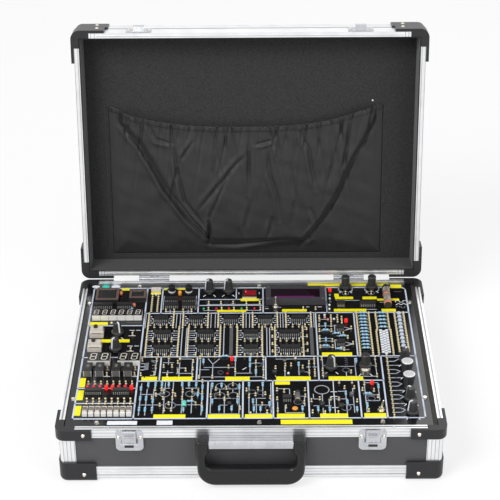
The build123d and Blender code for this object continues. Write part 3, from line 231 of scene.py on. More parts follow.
def woven(name, color, thread, depth, roughness, sheen):
    """Cloth: two crossing sets of threads, and a slow change of tone."""
    material, tree, shader = nodes_of(name)
    threads = calc(tree, "MULTIPLY", *waves(tree, "XZ", Scale=1.0 / thread, Distortion=0.4))
    tone = noise(tree, coordinates(tree), 0.05, 5.0, 0.6)
    put(shader, Base_Color=ramp(tree, tone, varied(color, 0.75, 1.3)),
        Normal=bump(tree, threads, 0.5, depth),
        Roughness=rough(tree, tone, roughness - 0.08, roughness + 0.08),
        Sheen_Weight=sheen, Sheen_Roughness=0.35)
    return material


def felt(name, color):
    material, tree, shader = nodes_of(name)
    fibres = noise(tree, coordinates(tree), 0.40, 6.0, 0.9)
    put(shader, Base_Color=ramp(tree, fibres, varied(color, 0.1, 2.2)),
        Normal=bump(tree, fibres, 0.6, 0.25), Roughness=rough(tree, fibres, 0.9, 1.0), Sheen_Weight=0.2)
    return material


def glow(name, color, strength):
    """A lit lamp: its colour shows by itself."""
    material, tree, shader = nodes_of(name)
    shades = ramp(tree, noise(tree, coordinates(tree), 0.3, 2.0), varied(color, 0.9, 1.1))
    put(shader, Base_Color=shades, Emission_Color=shades, Emission_Strength=strength, Roughness=0.2)
    return material


def banded(name, low_color, high_color, height, roughness):
    """Plastic of two tones, which meet at a height above the board."""
    material, tree, shader = nodes_of(name)
    level, blur = BZ + height * MM, 0.0003
    step = node(tree, "MapRange", Value=axes(tree)["Z"], From_Min=level - blur, From_Max=level + blur)
    grain = noise(tree, coordinates(tree), 0.8)
    put(shader, Base_Color=ramp(tree, step.outputs["Result"], [(0.0, low_color), (1.0, high_color)]),
        Roughness=rough(tree, grain, roughness - 0.06, roughness + 0.06),
        Normal=bump(tree, grain, 0.3, 0.02))
    return material


ALUMINIUM = metal_extrusion("drawn_aluminium", (0.84, 0.845, 0.855), 0.24, 0.40, (0.02, 0.02, 5.0), 4.5)
LAMINATE = laminate("wall_laminate", (0.056, 0.056, 0.060))
CORNER = surface("corner_plastic", (0.018, 0.018, 0.020), 0.36, grain=1.2, depth=0.05,
                 Specular_IOR_Level=0.35)
HANDLE = surface("handle_plastic", (0.012, 0.012, 0.013), 0.27, grain=1.5, depth=0.05,
                 Specular_IOR_Level=0.3)
NICKEL = surface("nickel", (0.80, 0.74, 0.66), 0.22, 1.0, grain=0.8, depth=0.01)
STEEL = surface("plated_steel", (0.56, 0.57, 0.60), 0.20, 1.0, grain=0.6, depth=0.01)
FELT = felt("black_felt", (0.0175, 0.0175, 0.0180))
CLOTH = woven("pocket_cloth", (0.0115, 0.0115, 0.0120), 0.35, 0.04, 0.60, 0.14)
THREAD = surface("stitch_thread", (0.050, 0.050, 0.052), 0.7, grain=2.0, depth=0.05)
BATTEN = surface("batten_wood", (0.040, 0.036, 0.031), 0.7, grain=0.2, stretch=(0.1, 1, 1), depth=0.1)
BOARD = surface("board_lacquer", (0.006, 0.006, 0.007), 0.14, grain=0.3, depth=0.008, strength=0.1)
BEZEL = surface("display_bezel", (0.075, 0.072, 0.085), 0.38, 0.3, grain=1.0)
WHITE = surface("white_plastic", (0.84, 0.83, 0.80), 0.35, grain=0.6, low=0.94, high=1.04)
CHIP = surface("chip_epoxy", (0.020, 0.020, 0.021), 0.45, grain=1.8, depth=0.03)
SOCKET = surface("socket_brown", (0.125, 0.085, 0.072), 0.5, grain=1.0)
BEIGE = surface("beige_plastic", (0.62, 0.57, 0.51), 0.5, grain=0.8, low=0.9)
KNOB = surface("knob_plastic", (0.030, 0.030, 0.032), 0.36, grain=1.4, depth=0.03)
RED = surface("rocker_red", (0.33, 0.006, 0.014), 0.14, grain=0.5, depth=0.005)
BLACK = surface("black_plastic", (0.012, 0.012, 0.013), 0.35, grain=1.0)
GREY = surface("grey_plastic", (0.13, 0.13, 0.125), 0.45, grain=1.0)
ZINC = surface("zinc_sheet", (0.62, 0.63, 0.64), 0.35, 0.9, grain=0.12, depth=0.02)
LINE = surface("pale_line", (0.62, 0.69, 0.82), 0.5, grain=0.5, low=0.93, high=1.05)
TRACE = surface("trace_line", (0.50, 0.55, 0.64), 0.5, grain=0.5, low=0.9)
STRIPE = surface("trace_grey", (0.105, 0.105, 0.112), 0.45, grain=0.5, low=0.9)
YELLOW = surface("label_yellow", (0.92, 0.83, 0.004), 0.5, grain=0.4, low=0.96, high=1.03)
PALE = surface("mark_white", (0.80, 0.82, 0.88), 0.5, grain=0.4, low=0.95, high=1.03)
GREEN_LABEL = surface("label_green", (0.03, 0.62, 0.48), 0.5, grain=0.4)
TAN = surface("pin_gold", (0.97, 0.78, 0.44), 0.30, 0.35, grain=1.0, low=0.85)
CREAM = surface("pin_foot", (0.84, 0.79, 0.66), 0.32, 0.3, grain=1.0, low=0.9)
# Bright silver for real metal parts; it also paints the highlights on the thumb wheels' edges.
SILVER_AND_HIGHLIGHT = surface("bright_silver_and_highlight", (0.88, 0.88, 0.87), 0.28, 0.5, grain=0.6)
LEG = surface("chip_legs", (0.60, 0.60, 0.55), 0.35, 0.5, grain=0.8)
# Painted shade: a darker, greener copy of the chip legs' colour, for the rear row of each chip.
LEG_SHADED = surface("chip_legs_rear_shaded", (0.50, 0.58, 0.33), 0.4, 0.3, grain=0.8)
BLUE = surface("resistor_blue", (0.26, 0.62, 0.95), 0.3, grain=0.9, low=0.85)
TEAL = surface("capacitor_green", (0.16, 0.72, 0.56), 0.3, grain=0.9)
PINK = surface("diode_pink", (0.85, 0.35, 0.33), 0.3, grain=0.9)
DISC = surface("disc_pale_blue", (0.55, 0.62, 0.74), 0.3, grain=0.9)
LED_RED = surface("lamp_red", (0.72, 0.008, 0.03), 0.10, grain=0.5, depth=0.003)
LED_LIT = glow("lamp_red_lit", (0.90, 0.020, 0.014), 0.45)
LED_GREEN = surface("lamp_green", (0.05, 0.42, 0.20), 0.15, grain=0.5, depth=0.003)
GLASS = surface("display_glass", (0.013, 0.004, 0.010), 0.10, grain=0.3, depth=0.002)
MAGENTA = glow("display_line", (0.105, 0.002, 0.095), 0.6)
SEGMENT = surface("segment_pale", (0.60, 0.56, 0.52), 0.4, grain=0.6)
DARK_FACE = surface("segment_face", (0.014, 0.014, 0.015), 0.25, grain=0.6, depth=0.003)
AMBER = surface("amber_part", (0.90, 0.36, 0.05), 0.3, grain=0.8)
RUST = surface("orange_part", (0.80, 0.26, 0.13), 0.35, grain=0.8)
CAP = surface("knob_cap", (0.58, 0.58, 0.59), 0.3, 0.2, grain=0.6)
TUBE = surface("smoked_tube", (0.30, 0.25, 0.21), 0.08, grain=0.4, depth=0.004, Coat_Weight=0.6)
TWO_TONE = banded("slider_two_tone", (0.80, 0.78, 0.74), (0.25, 0.22, 0.19), 7.6, 0.4)

FINISH = {
    "wall_laminate": LAMINATE, "aluminium_profile": ALUMINIUM, "corner_plastic": CORNER,
    "nickel_plate": NICKEL, "latch_steel": STEEL, "handle_plastic": HANDLE, "black_felt": FELT,
    "pocket_cloth": CLOTH, "batten_wood": BATTEN, "board_lacquer": BOARD, "display_bezel": BEZEL,
    "digit_plastic": WHITE, "chip_epoxy": CHIP, "switch_plastic": BEIGE, "led_plastic": LED_RED,
    "knob_plastic": KNOB, "knob_disc": KNOB, "rocker_plastic": RED, "slider_plastic": TWO_TONE,
    "button_plastic": BLACK, "supply_steel": ZINC, "inlet_plastic": BLACK,
}

for part in frame["record"]["subparts"]:
    data = frame["nodes"][part["node"]].data
    data.materials.clear()
    data.materials.append(FINISH[part["material_slot"]])


# ---------------------------------------------------------------- mesh making
def direction(degrees):
    return math.cos(math.radians(degrees)), math.sin(math.radians(degrees))


def circle(sides):
    return [direction(360 * i / sides) for i in range(sides)]


class Shape:
    """Collects simple solids in millimetres and makes one mesh of them. The first of its
    materials is the usual one."""

    def __init__(self, name, *materials, place=on_board):
        self.name = name
        self.materials = materials
        self.place = place
        self.mesh = bmesh.new()

    def faces(self, loops, material=None, smooth=False):
        """Joins matching loops of points one after another, and closes both ends."""
        rings = [[self.mesh.verts.new(point) for point in loop] for loop in loops]
        count = len(rings[0])
        made = []
        for low, high in zip(rings, rings[1:]):
            for i in range(count):
                j = (i + 1) % count
                made.append(self.mesh.faces.new((low[i], low[j], high[j], high[i])))
                made[-1].smooth = smooth
        made.append(self.mesh.faces.new(list(reversed(rings[0]))))
        made.append(self.mesh.faces.new(rings[-1]))
        index = 0 if material is None else self.materials.index(material)
        for face in made:
            face.material_index = index

    def block(self, x, y, z, size, material=None, turn=0.0, taper=1.0):
        """A box standing on height z, turned in degrees, narrowed at its top by taper."""
        wide, deep, tall = size
        cosine, sine = direction(turn)
        loops = []
        for height, scale in ((z, 1.0), (z + tall, taper)):
            loop = []
            for sx, sy in ((-1, -1), (1, -1), (1, 1), (-1, 1)):
                px, py = sx * wide / 2 * scale, sy * deep / 2 * scale
                loop.append(self.place(x + px * cosine - py * sine, y + px * sine + py * cosine, height))
            loops.append(loop)
        self.faces(loops, material)

    def turned(self, x, y, profile, sides=12, material=None, stretch=1.0):
        """Rings of (radius, height) stacked upright, with flat ends."""
        self.faces([
            [self.place(x + radius * c, y + radius * stretch * s, height) for c, s in circle(sides)]
            for radius, height in profile
        ], material, smooth=sides > 6)

    def rod(self, start, end, profile, sides=8, material=None):
        """Rings of (share of the way, radius) along a line between two places."""
        a, b = self.place(*start), self.place(*end)
        way = (b - a).normalized()
        side = way.cross(Vector((0, 0, 1)))
        if side.length < 0.01:
            side = Vector((1, 0, 0))
        side.normalize()
        up = side.cross(way)
        self.faces([
            [a.lerp(b, share) + (side * c + up * s) * radius * MM for c, s in circle(sides)]
            for share, radius in profile
        ], material, smooth=True)

    def line(self, path, width=1.0, material=None, z=0.0, tall=PRINT):
        """A flat printed line through the points of path, which is x, y, x, y and so on."""
        points = list(zip(path[::2], path[1::2]))
        for (x0, y0), (x1, y1) in zip(points, points[1:]):
            size = (math.hypot(x1 - x0, y1 - y0) + width, width, tall)
            turn = math.degrees(math.atan2(y1 - y0, x1 - x0))
            self.block((x0 + x1) / 2, (y0 + y1) / 2, z, size, material, turn)

    def ring(self, x, y, radius, width=1.0, material=None, z=0.0, tall=PRINT, sides=24, arc=(0, 360)):
        """A printed ring or arc."""
        start, end = arc
        steps = max(int(sides * (end - start) / 360), 2)
        path = []
        for i in range(steps + 1):
            dx, dy = direction(start + (end - start) * i / steps)
            path += [x + radius * dx, y + radius * dy]
        self.line(path, width, material, z, tall)

    def tube(self, points, radius, sides=8):
        """A closed round wire through places in the frame."""
        loops = []
        for i, middle in enumerate(points):
            way = (points[min(i + 1, len(points) - 1)] - points[max(i - 1, 0)]).normalized()
            side = way.cross(Vector((0.3, 0.2, 1))).normalized()
            up = side.cross(way)
            loops.append([middle + (side * c + up * s) * radius * MM for c, s in circle(sides)])
        self.faces(loops, smooth=True)

    def finish(self, body="case", bevel=0.0):
        bmesh.ops.recalc_face_normals(self.mesh, faces=self.mesh.faces)
        data = bpy.data.meshes.new(self.name)
        for material in self.materials:
            data.materials.append(material)
        self.mesh.to_mesh(data)
        self.mesh.free()
        obj = bpy.data.objects.new(self.name, data)
        bpy.context.scene.collection.objects.link(obj)
        if bevel:
            put(obj.modifiers.new("bevel", "BEVEL"), width=bevel * MM, segments=2, limit_method="ANGLE")
        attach(obj, body)


# --------------------------------------------------------------- board's print
WIDE, BACK, FRONT = 212.5, 154.5, -145.0
ROW_A, ROW_B, ROW_C = 90.5, -12.8, -66.5
LEFT, RIGHT = -139.4, 167.5
SHELF, LOW_SHELF, SHELF_FROM, SHELF_TO = 124.8, 109.8, -68.9, 18.3

frame_lines = Shape("panel_lines", LINE)
frame_lines.line((-WIDE, FRONT, WIDE, FRONT, WIDE, BACK - 5, WIDE - 5, BACK, -WIDE, BACK, -WIDE, FRONT), 2.0)
frame_lines.line((LEFT, FRONT, LEFT, BACK), 2.0)
for y, end in ((ROW_A, WIDE), (ROW_B, RIGHT), (ROW_C, RIGHT)):
    frame_lines.line((LEFT, y, end, y), 2.0)
frame_lines.line((RIGHT, ROW_B, WIDE, ROW_B), 2.0)
for low, high, places in (
    (ROW_A, BACK, (-118.4, SHELF_FROM, SHELF_TO, 103.8)),
    (ROW_B, ROW_A, (87.9, 138.8)),
    (ROW_C, ROW_B, (-112.2, -65.9, 20.9, 87.3, 167.7)),
    (FRONT, ROW_C, (-51.0, -7.5, 29.5, 73.1, 136.0, 167.3)),
):
    for x in places:
        frame_lines.line((x, low, x, high), 1.9)
frame_lines.line((-18.0, SHELF, -18.0, BACK), 1.6)
frame_lines.line((SHELF_FROM, SHELF, SHELF_TO, SHELF), 1.5)
frame_lines.line((SHELF_FROM, LOW_SHELF, SHELF_TO, LOW_SHELF), 1.6)
for y in (60.7, -13.6, -81.6, -113.4):
    frame_lines.line((-WIDE, y, LEFT, y), 1.8)
frame_lines.finish()

LABELS = [  # left, right, middle and depth of each
    (-210.9, -186.9, 65.8, 7), (-193.6, -155.5, 24.4, 7), (-175, -164, 151.6, 5.5),
    (-134.3, -120.7, 140.7, 4), (-116.8, -112.6, 151.8, 4), (-99.2, -86.7, 152, 4), (-11.9, 12.6, 123.5, 6),
    (-43.5, -4.4, 95.6, 5), (43.6, 76.6, 96.3, 6), (79.8, 190, 160.3, 5), (193, 208, 156.5, 9),
    (115.1, 121.2, 133.8, 8), (116, 140.3, 127.1, 6), (153, 172.3, 126.8, 6.5), (172.6, 202.3, 122.4, 5),
    (112.9, 156.5, 96.1, 6.5), (176.7, 195.8, 95.6, 6.5), (93.1, 131.7, -8.4, 7.5),
    (-134.6, -115, -61.2, 8), (-109, -70.8, -61.5, 8), (-115.3, -76.6, -140.4, 7), (-29.9, 0.7, -62, 8),
    (33.9, 77, -62, 8), (-49.5, -10.7, -140.6, 7), (-4.8, 28.3, -140.7, 7), (32.2, 50.8, -71.9, 7),
    (33.7, 67.5, -140.2, 8), (99.4, 142.5, -62.2, 8), (85.9, 119.6, -140.4, 8), (139.1, 165.6, -140, 8),
    (38.2, 124, -153, 9),
]
labels = Shape("yellow_labels", YELLOW)
for x0, x1, y, high in LABELS:
    labels.block((x0 + x1) / 2, y, 0.0, (x1 - x0, high, 0.35))
for top, low in ((-59.5, -79.5), (-86.0, -106.5), (-118.5, -138.5)):
    labels.block(-207.6, (top + low) / 2, 0.0, (7.4, top - low, 0.35))
labels.finish(bevel=0.1)

margins = Shape("margin_marks", PALE, GREEN_LABEL)
for x, radius, material in ((-210.8, 5.5, PALE), (-197.4, 5.5, GREEN_LABEL), (-183.5, 6.5, PALE)):
    margins.turned(x, 159.2, [(radius, 0.0), (radius, 0.3)], 24, material, stretch=0.6)
margins.block(-152.0, -153.5, 0.0, (36, 7.5, 0.3))
margins.block(-101.0, -153.5, 0.0, (19, 8.5, 0.3))
margins.finish(bevel=0.1)

# --------------------------------------------------------- pins and small parts
pins = Shape("test_pins", TAN, CREAM)
traces = Shape("printed_traces", TRACE, STRIPE, PALE)
smalls = Shape("small_parts", BLUE, CREAM, RUST, BLACK, AMBER, PALE, PINK, DISC, LED_GREEN, LED_RED, TAN, GREY)
WIRE = [(0, 0.4), (1, 0.4)]


def pin(x, y, tall=4.6, head=1.05):
    """A turned test pin: pale foot, neck and rounded head."""
    pins.turned(x, y, [(1.45, 0), (1.45, 0.35), (1.0, 0.6)], 8, CREAM)
    pins.turned(x, y, [(0.8, 0.5), (0.8, tall - 1.9), (head, tall - 1.5), (head, tall - 0.4), (0.5, tall)], 8)


def pin_column(x, y0, y1, pitch, tall=3.3):
    count = max(round(abs(y1 - y0) / pitch), 1)
    for i in range(count + 1):
        pin(x, y0 + (y1 - y0) * i / count, tall)


def resistor(x, y, turn, long):
    """Lying part with swollen ends, colour bands and two wires bent down to the board."""
    dx, dy = direction(turn)
    half, lift = long / 2, 2.1
    a, b = (x - dx * half, y - dy * half, lift), (x + dx * half, y + dy * half, lift)
    body = [(0, 0.8), (0.04, 1.5), (0.2, 1.6), (0.28, 1.3), (0.72, 1.3), (0.8, 1.6), (0.96, 1.5), (1, 0.8)]
    smalls.rod(a, b, body)
    for place, band in ((0.34, RUST), (0.5, BLACK), (0.66, TAN)):
        start = tuple(p + (q - p) * place for p, q in zip(a, b))
        end = tuple(p + (q - p) * (place + 0.06) for p, q in zip(a, b))
        smalls.rod(start, end, [(0, 1.34), (1, 1.34)], 8, band)
    for end, way in ((a, -1), (b, 1)):
        out = (end[0] + way * dx * 1.4, end[1] + way * dy * 1.4, lift)
        smalls.rod(end, out, WIRE, 5, CREAM)
        smalls.rod(out, (out[0], out[1], 0.0), WIRE, 5, CREAM)


def bead(x, y, color, radius=1.6, tall=2.6):
    """Small upright part with a rounded top."""
    profile = [(radius * 0.7, 0), (radius, 0.5), (radius, tall - 0.9), (radius * 0.5, tall)]
    smalls.turned(x, y, profile, 10, color)


# Chips in rows, as the frame has them: row's place, chips, and pins along each of their sides.
CHIP_ROWS = {
    71.7: ((-117.0, 7), (-71.0, 7), (-24.6, 7), (20.7, 7), (65.1, 7)),
    36.8: ((-113.1, 8), (-57.1, 8), (2.2, 7), (52.5, 10)),
    1.7: ((-112.3, 8), (-56.2, 8), (2.3, 7), (52.8, 10)),
}
# Test pins' columns at both sides of each chip.
COLUMNS = {
    71.7: ((-133.3, -100.5), (-87.8, -54.7), (-41.2, -8.3), (4.3, 37.0), (48.3, 81.5)),
    36.8: ((-133.4, -92.0), (-79.7, -37.8), (-15.7, 16.8), (33.5, 69.7)),
}
COLUMNS[1.7] = COLUMNS[36.8]
for row, top, low, pitch in ((71.7, 88, 56, 6.4), (36.8, 54, -11, 6.5)):
    for pair in COLUMNS[row]:
        for x in pair:
            pin_column(x, top, low, pitch)
for y, chips in CHIP_ROWS.items():
    for (x, count), (left, right) in zip(chips, COLUMNS[y]):
        half = count * CHIP_PITCH / 2
        for i in range(5):
            level = y + (2 - i) * 5.2
            for column, side in ((left, -1), (right, 1)):
                end = x + side * (half + (2.6 if i in (1, 3) else 4.4))
                traces.line((column, level, end, level), 0.95)
                traces.turned(end, level, [(1.0, 0.1), (1.0, 0.35)], 8, PALE)
        for side in SIDES:
            end = x + side * (half + 1.4)
            traces.line((end, y - 5.5, end, y + 5.5), 0.7)
        for i in range(count - 2):
            px = x + (i - (count - 3) / 2) * CHIP_PITCH
            traces.line((px, y - 5, px, y - 9 - 2.2 * (i % 2)), 0.7)
            traces.line((px, y + 5, px, y + 8.5), 0.7)
        below = 3 if count < 8 else 4
        for i in range(below):
            px = x + (i - (below - 1) / 2) * 8.1
            pin(px, y - 15.5 if y > 60 else y - 14.2)
            traces.line((px, y - 13, px, y - 6), 0.9)
for x in (-116.9, -71.2, -24.8, 20.6, 64.9):
    for side in SIDES:
        traces.line((x + side * 20.4, 88, x + side * 20.4, 55))
for x in (-87.8, -82.0, -33.1, 22.8, 26.5):
    traces.line((x, 54, x, -10), 1.2)
for x in (-23.5, 81.0):
    traces.line((x, 60, x, -8), 4.5, STRIPE)
for x, way, places in ((30, 4, (50, 32, 15, -2)), (75, -5, (50, 33, 15, -1))):
    for y in places:
        pin(x, y, 3.4)
        traces.line((x, y, x + way, y))

# Ladders of parts on the right.
for x, top, low in (
    (142.2, 87, -9), (158.5, 87, -9), (167.6, 87, 48), (183.6, 87, 48), (192.8, 87, -3), (204.8, 87, -3),
    (166, 44, -9), (184.7, 44, -9),
):
    pin_column(x, top, low, 4.1, 3.6)
for i in range(12):
    resistor(150.3, 87 - i * 7.6, 0.0, 8.0)
for i in range(5):
    resistor(175.6, 87 - i * 8.6, 0.0, 8.0)
for i in range(10):
    for x, shift in ((171.6, 0), (179.4, 0), (175.5, 2.8)):
        y = 44 - i * 5.6 - shift
        smalls.rod((x - 1.9, y, 1.7), (x + 1.9, y, 1.7), [(0, 1.2), (0.1, 1.5), (0.9, 1.5), (1, 1.2)], 8, PALE)
    y = 86 - i * 8.6
    smalls.turned(198.7, y, [(2.2, 0.0), (2.9, 0.9), (2.9, 2.6), (2.0, 3.4)], 14, DISC)
    traces.line((192.8, y, 204.8, y))
for i in range(15):
    y = -16 - i * 9.1
    if abs(y - ROW_C) > 3:
        pin(175, y)
        bend = 5 if i % 3 == 1 else -4 if i and i % 3 == 0 else 0
        traces.line((175, y, 184, y, 190, y + bend), 1.2)

# Resistors that lie from front to back, in rows: y, and each x.
RESISTORS = {
    -85: [-133.5], -76.5: [-125, -116], -106: [-133.2, -126], -111: [-117.5],
    -128: [-133.2, -117.5, -57, -79.5, 6, 14], -129: [-126, 84, 98, 131],
    -76: [-108, -99.5, -83, -74.5, -65.5], -82: [-57.5, -12, 160], -97: [-63], -105: [-57.3],
    -78: [-45.5, -34], -112: [-45, -14, 5], -127: [-36, -21, 65], -77: [0, 17], -118: [25], -96: [119],
    -115: [120], -121: [144], -25: [-58, 135.7], -22: [-17.5, 1], -35: [1], -50: [8.5], -33: [62.7],
    58: [100], 23: [99.3],
}
for y, places in RESISTORS.items():
    for x in places:
        resistor(x, y, 90.0, 7.0)
for x, y in ((-31, -14), (-72, -112), (100, 46), (98.6, 9), (114, 38), (122, 32), (116, 2), (146, -97)):
    resistor(x, y, 0.0, 7.0)
for part in (  # place, material, and for some their radius and height
    (100, 83, PALE), (100, 77, PINK), (104, 72, PINK), (112, 73, PALE), (-27, -52, LED_RED),
    (-127, 136, PALE), (-61.3, 100, LED_GREEN), (-44.4, 100, LED_RED), (-27.4, 100, LED_RED),
    (-10.5, 100, LED_GREEN), (6.7, 100, LED_RED), (109, 133, LED_GREEN), (108.5, 124, PALE),
    (109, 116, GREY), (107.5, 108, PALE), (107, 98, CREAM), (49.3, -52, PALE), (-88, -19, TAN),
    (59, -19, CREAM), (-182, 66, TAN), (-94.5, 136, AMBER, 2.4, 7), (-175, 138, RUST, 2.8, 5),
    (-155.5, 108, RUST, 2.6, 5), (32, -53, BLACK, 3, 7), (67, -50, BLACK, 2.6, 5),
    (126, -100, GREY, 2.6, 6), (-24, -118, BLACK, 2.6, 5), (112, -124, BLACK, 3.4, 6),
    (-157, 98, BLUE, 2.2, 4), (-131, -58.5, GREY, 1.2, 1), (45, -23.5, GREY, 2.4, 3),
    (89, -122, BLACK, 3.2, 7),
):
    bead(*part)

# Single test pins in rows: y, and each x.
SINGLE_PINS = {
    -86: [-116, -108, -41, 11], -91: [-105, -94, -62.5, 43.3], -90: [-81.7, -70, 154], -69: [-58],
    -94: [-57.5], -98: [-114.5, -90.7, 8], -105: [-105.5, -94, -82, -70], -104: [-119, 26], -116: [-98],
    -119: [-108.6, -57.5], -117: [-65], -129: [-103, -94.5], -84: [-28, 118, 130], -76: [-20, 143],
    -100: [-47, -14], -107: [-30, 34.5, 86.5], -126: [-11], -96: [-26, -36, 20, 56],
    -88: [-3, 34.5, 69, 140], -118: [16], -102: [0], -138: [2], -134: [22, 77], -115: [67.4], -111: [76.3],
    -108: [100, 110], -130: [35], -124: [45], -101: [69], -136: [92, 108], -112: [132], -103: [158],
    -132: [145], -72: [128, 112], -22: [-117.5, -136], -38: [-118, -26], -52: [-119], -54: [-136],
    -36: [-108, -97.5, 160], -17: [-102.5, -62.5], -57: [-102.6, -71, 82.5], -27: [-90.5, 8.5],
    -47: [-89.7], -44: [-80], -25: [-71], -42: [-71, 8.5, 18], -46: [-17.5], -20: [18, 160],
    -60: [18, -63, -46], -40: [33.3], -34: [45.7, 53], -45: [45, 92.5], -39: [67.5], -29: [75.8, 82.5],
    -50: [75.5, 128], -19: [82.5], -48: [82.5], -21: [92.2], -56: [92.5], -58: [160], 78: [92.5],
    70: [92.5], 79: [108, 116.5], 69: [108], 68: [116.5], 75: [122], 66: [122], 57: [91.7, 107.6],
    45: [91.7, 107.3], 37: [122.5], 29: [91.3, 128], 21: [91.3, 107.7], 7: [91.6, 107.5], 51: [133.5],
    15: [134], 1: [122], 114: [-54.9, -38.4, -22, -4.1, 13.8],
    99: [-54.9, -37.2, -20.8, -3.5, 14.6, 72, 88.5], 95: [-111.6, -100.6, -88.6, -77.5], 38: [-152.5],
    2: [-152.5], -41: [-178.5, -143.8], -53: [-178.5, -143.8], 138: [130.5, 165.5],
}
for y, places in SINGLE_PINS.items():
    for x in places:
        pin(x, y)
for x in (-131.5, -123.5):
    pin_column(x, 133, 96, 5.3, 4.0)
for x in SWITCHES:
    pin(x, -109, 5.2, 1.3)
    bead(x, -115, TAN, 1.5, 2.2)
for x in LAMPS:
    pin(x, -72, 4.7)

# Circuit signs: rings, arcs and links between the parts.
for x, y, radius in (
    (-104, -94, 6), (-72, -94, 6), (-35, -78, 6), (-20, -78, 6), (-36, -98, 6.5), (-19, -98, 6.5),
    (-36, -48, 3.4), (60, -112, 5), (118, -124, 6), (-96, -118, 6.5), (12, -31, 4), (122, -44, 4.5),
    (-22, 115.5, 3), (24, -124, 4), (130.5, 140, 4.6), (165.5, 140, 4.6), (-42, -96, 3), (150, -105, 4.5),
    (4, -90, 4), (14, -92, 4),
):
    traces.ring(x, y, radius)
traces.ring(89.8, -86.5, 8.9, 1.3, PALE)
smalls.turned(56, -127, [(3.0, 0.2), (3.6, 1.0), (3.6, 1.8), (2.8, 2.4)], 16, AMBER)
for x in (131, 167):
    for arc in ((140, 215), (-35, 40)):
        traces.ring(x, 150, 9.5, 1.5, PALE, arc=arc)
for x0, x1, y in (
    (-134, -104, -117), (-90, -58, -117), (-116, -104, -94), (-70, -58, -94), (-110, -98, -82),
    (-134, -110, -95), (-78, -62, -82), (-42, -14, -84), (-43, -14, -104), (-36, -20, -118), (0, 10, -94),
    (8, 20, -104), (5, 25, -118), (79, 100, -120), (102, 120, -106), (110, 128, -118), (143, 157, -98),
    (144, 160, -110), (-109, -96, -26), (-109, -96, -48), (-91, -71, -50), (-91, -80, -38), (-57, -18, -37),
    (-63, -51, -42), (-60, 18, -58), (-17.5, 3, -50), (1, 18, -28), (34, 84, -19), (62, 76, -48),
    (93, 100, -34), (107, 134, -36), (146, 160, -34), (92, 112, 58), (92, 112, 46), (92, 111, 22),
    (92, 111, 8), (92, 104, 74), (114, 128, 34), (92, 108, 28), (116, 128, 2), (-110, -78, 95),
    (-61, 15, 97), (-57, 15, 112), (37, 42, 104), (117, 148, 121), (176, 190, 116), (148, 170, 98),
):
    traces.line((x0, y, x1, y))
for x, y0, y1 in (
    (-104, -70, -86), (-104, -101, -134), (-94, -130, -70), (-133.5, -72, -138), (-126, -138, -84),
    (-117.5, -134, -84), (-82, -72, -134), (-70, -100, -134), (-58, -72, -138), (-36, -84, -92),
    (-20, -84, -92), (-30, -104, -134), (17, -72, -100), (9, -104, -134), (35, -112, -134), (90, -96, -136),
    (98, -106, -134), (128, -84, -134), (143, -70, -134), (-102.5, -20, -30), (-102.5, -44, -56),
    (-88, -26, -58), (-46, -30, -60), (-62, -20, -60), (-17.5, -18, -56), (1, -18, -50), (18, -18, -60),
    (8.5, -24, -58), (62.7, -26, -54), (33, -34, -58), (75.5, -22, -56), (82.5, -20, -58), (93, -18, -60),
    (134, -18, -58), (160, -18, -60), (108, 80, 66), (116.5, 80, 66), (122, 64, 78), (-106, 92, 99),
    (-82, 92, 99), (-113, 103, 118), (-73, 103, 118), (-116, 134, 100), (-72, 134, 100), (120, 100, 93),
    (104, 91, 120), (-152.5, 36.5, 48), (-152.5, 0.5, 11), (-192, 45, 52),
):
    traces.line((x, y0, x, y1))
SIGNS = (
    (TRACE, (
        (-47, -72, -47, -136, -12, -136, -12, -72), (0, -72, 0, -136, 27, -136, 27, -72),
        (35, -84, 50, -84, 50, -100), (44, -120, 44, -134, 66, -134), (56, -100, 68, -100, 68, -120),
        (79, -96, 79, -106, 90, -106), (110, -90, 119, -90, 119, -136), (143, -72, 160, -72, 160, -110),
        (-88, -18, -72, -18, -72, -50), (-52, -18, -46, -30, -38, -18), (45, -36, 45, -58, 67, -58),
        (122, -49, 122, -58, 160, -58), (-124, -22, -118, -22, -118, -54, -124, -54),
    )),
    (STRIPE, (
        (21.5, 106, 25, 106), (197, 143, 206, 143), (-163, 68, -143, 68),
    )),
    (PALE, (
        (104.5, -68, 104.5, -135), (112, 60, 112, 41, 133, 51, 112, 60),
        (111, 25, 111, 5, 134, 15, 111, 25), (21.5, 101, 25, 101), (76.5, 105, 80, 105),
        (92, 105, 96.5, 105), (-157, 49.5, -151, 49.5), (-148, 49.5, -143, 49.5), (-157, 36.5, -149, 36.5),
        (-157, 12.5, -151, 12.5), (-148, 12.5, -143, 12.5), (-157, 0.5, -149, 0.5), (-182, -56, -175, -56),
        (-147, -56, -141, -56), (-137, -28, -133, -28), (-137, -35, -133, -35), (-137, -42, -133, -42),
        (197, 116, 197, 120, 202, 120, 202, 116, 207, 116, 207, 120, 212, 120),
        (197, 109, 200.5, 113, 204, 109, 207.5, 113, 211, 109), (73, -37, 77, -37), (75, -39, 75, -35),
        (80.8, -37, 84.8, -37), (82.8, -39, 82.8, -35),
    )),
)
for material, paths in SIGNS:
    for path in paths:
        traces.line(path, 1.0, material)
for i in range(8):
    traces.line((-132.5, -28 - i * 2, -127.5, -26.5 - i * 2), 0.6)
for i in range(3):
    traces.ring(-122, -28 - i * 7, 3.2, arc=(-90, 90))
    traces.ring(122, -20 - i * 5, 2.6, arc=(-90, 90))
    traces.ring(96, -50 - i * 3, 1.6, 0.8)
for x, y, arc in ((199.5, 104, (0, 180)), (206, 104, (180, 360))):
    traces.ring(x, y, 2.4, 1.0, PALE, arc=arc)
for path in (
    (101, -91, 108, -91), (101, -101, 108, -101), (101, -124, 108, -124), (-14.5, 139, -14.5, 142),
    (13.2, 139, 13.2, 142), (-8, -42, -4, -38),
):
    traces.line(path, 1.2, PALE)
traces.finish()
pins.finish()
smalls.finish()

# ------------------------------------------- fittings of the CAD's own small parts
fittings = Shape("part_fittings", BLACK, WHITE, TEAL, GREY, TUBE, TAN, LED_LIT, BEIGE, SILVER_AND_HIGHLIGHT, RUST)


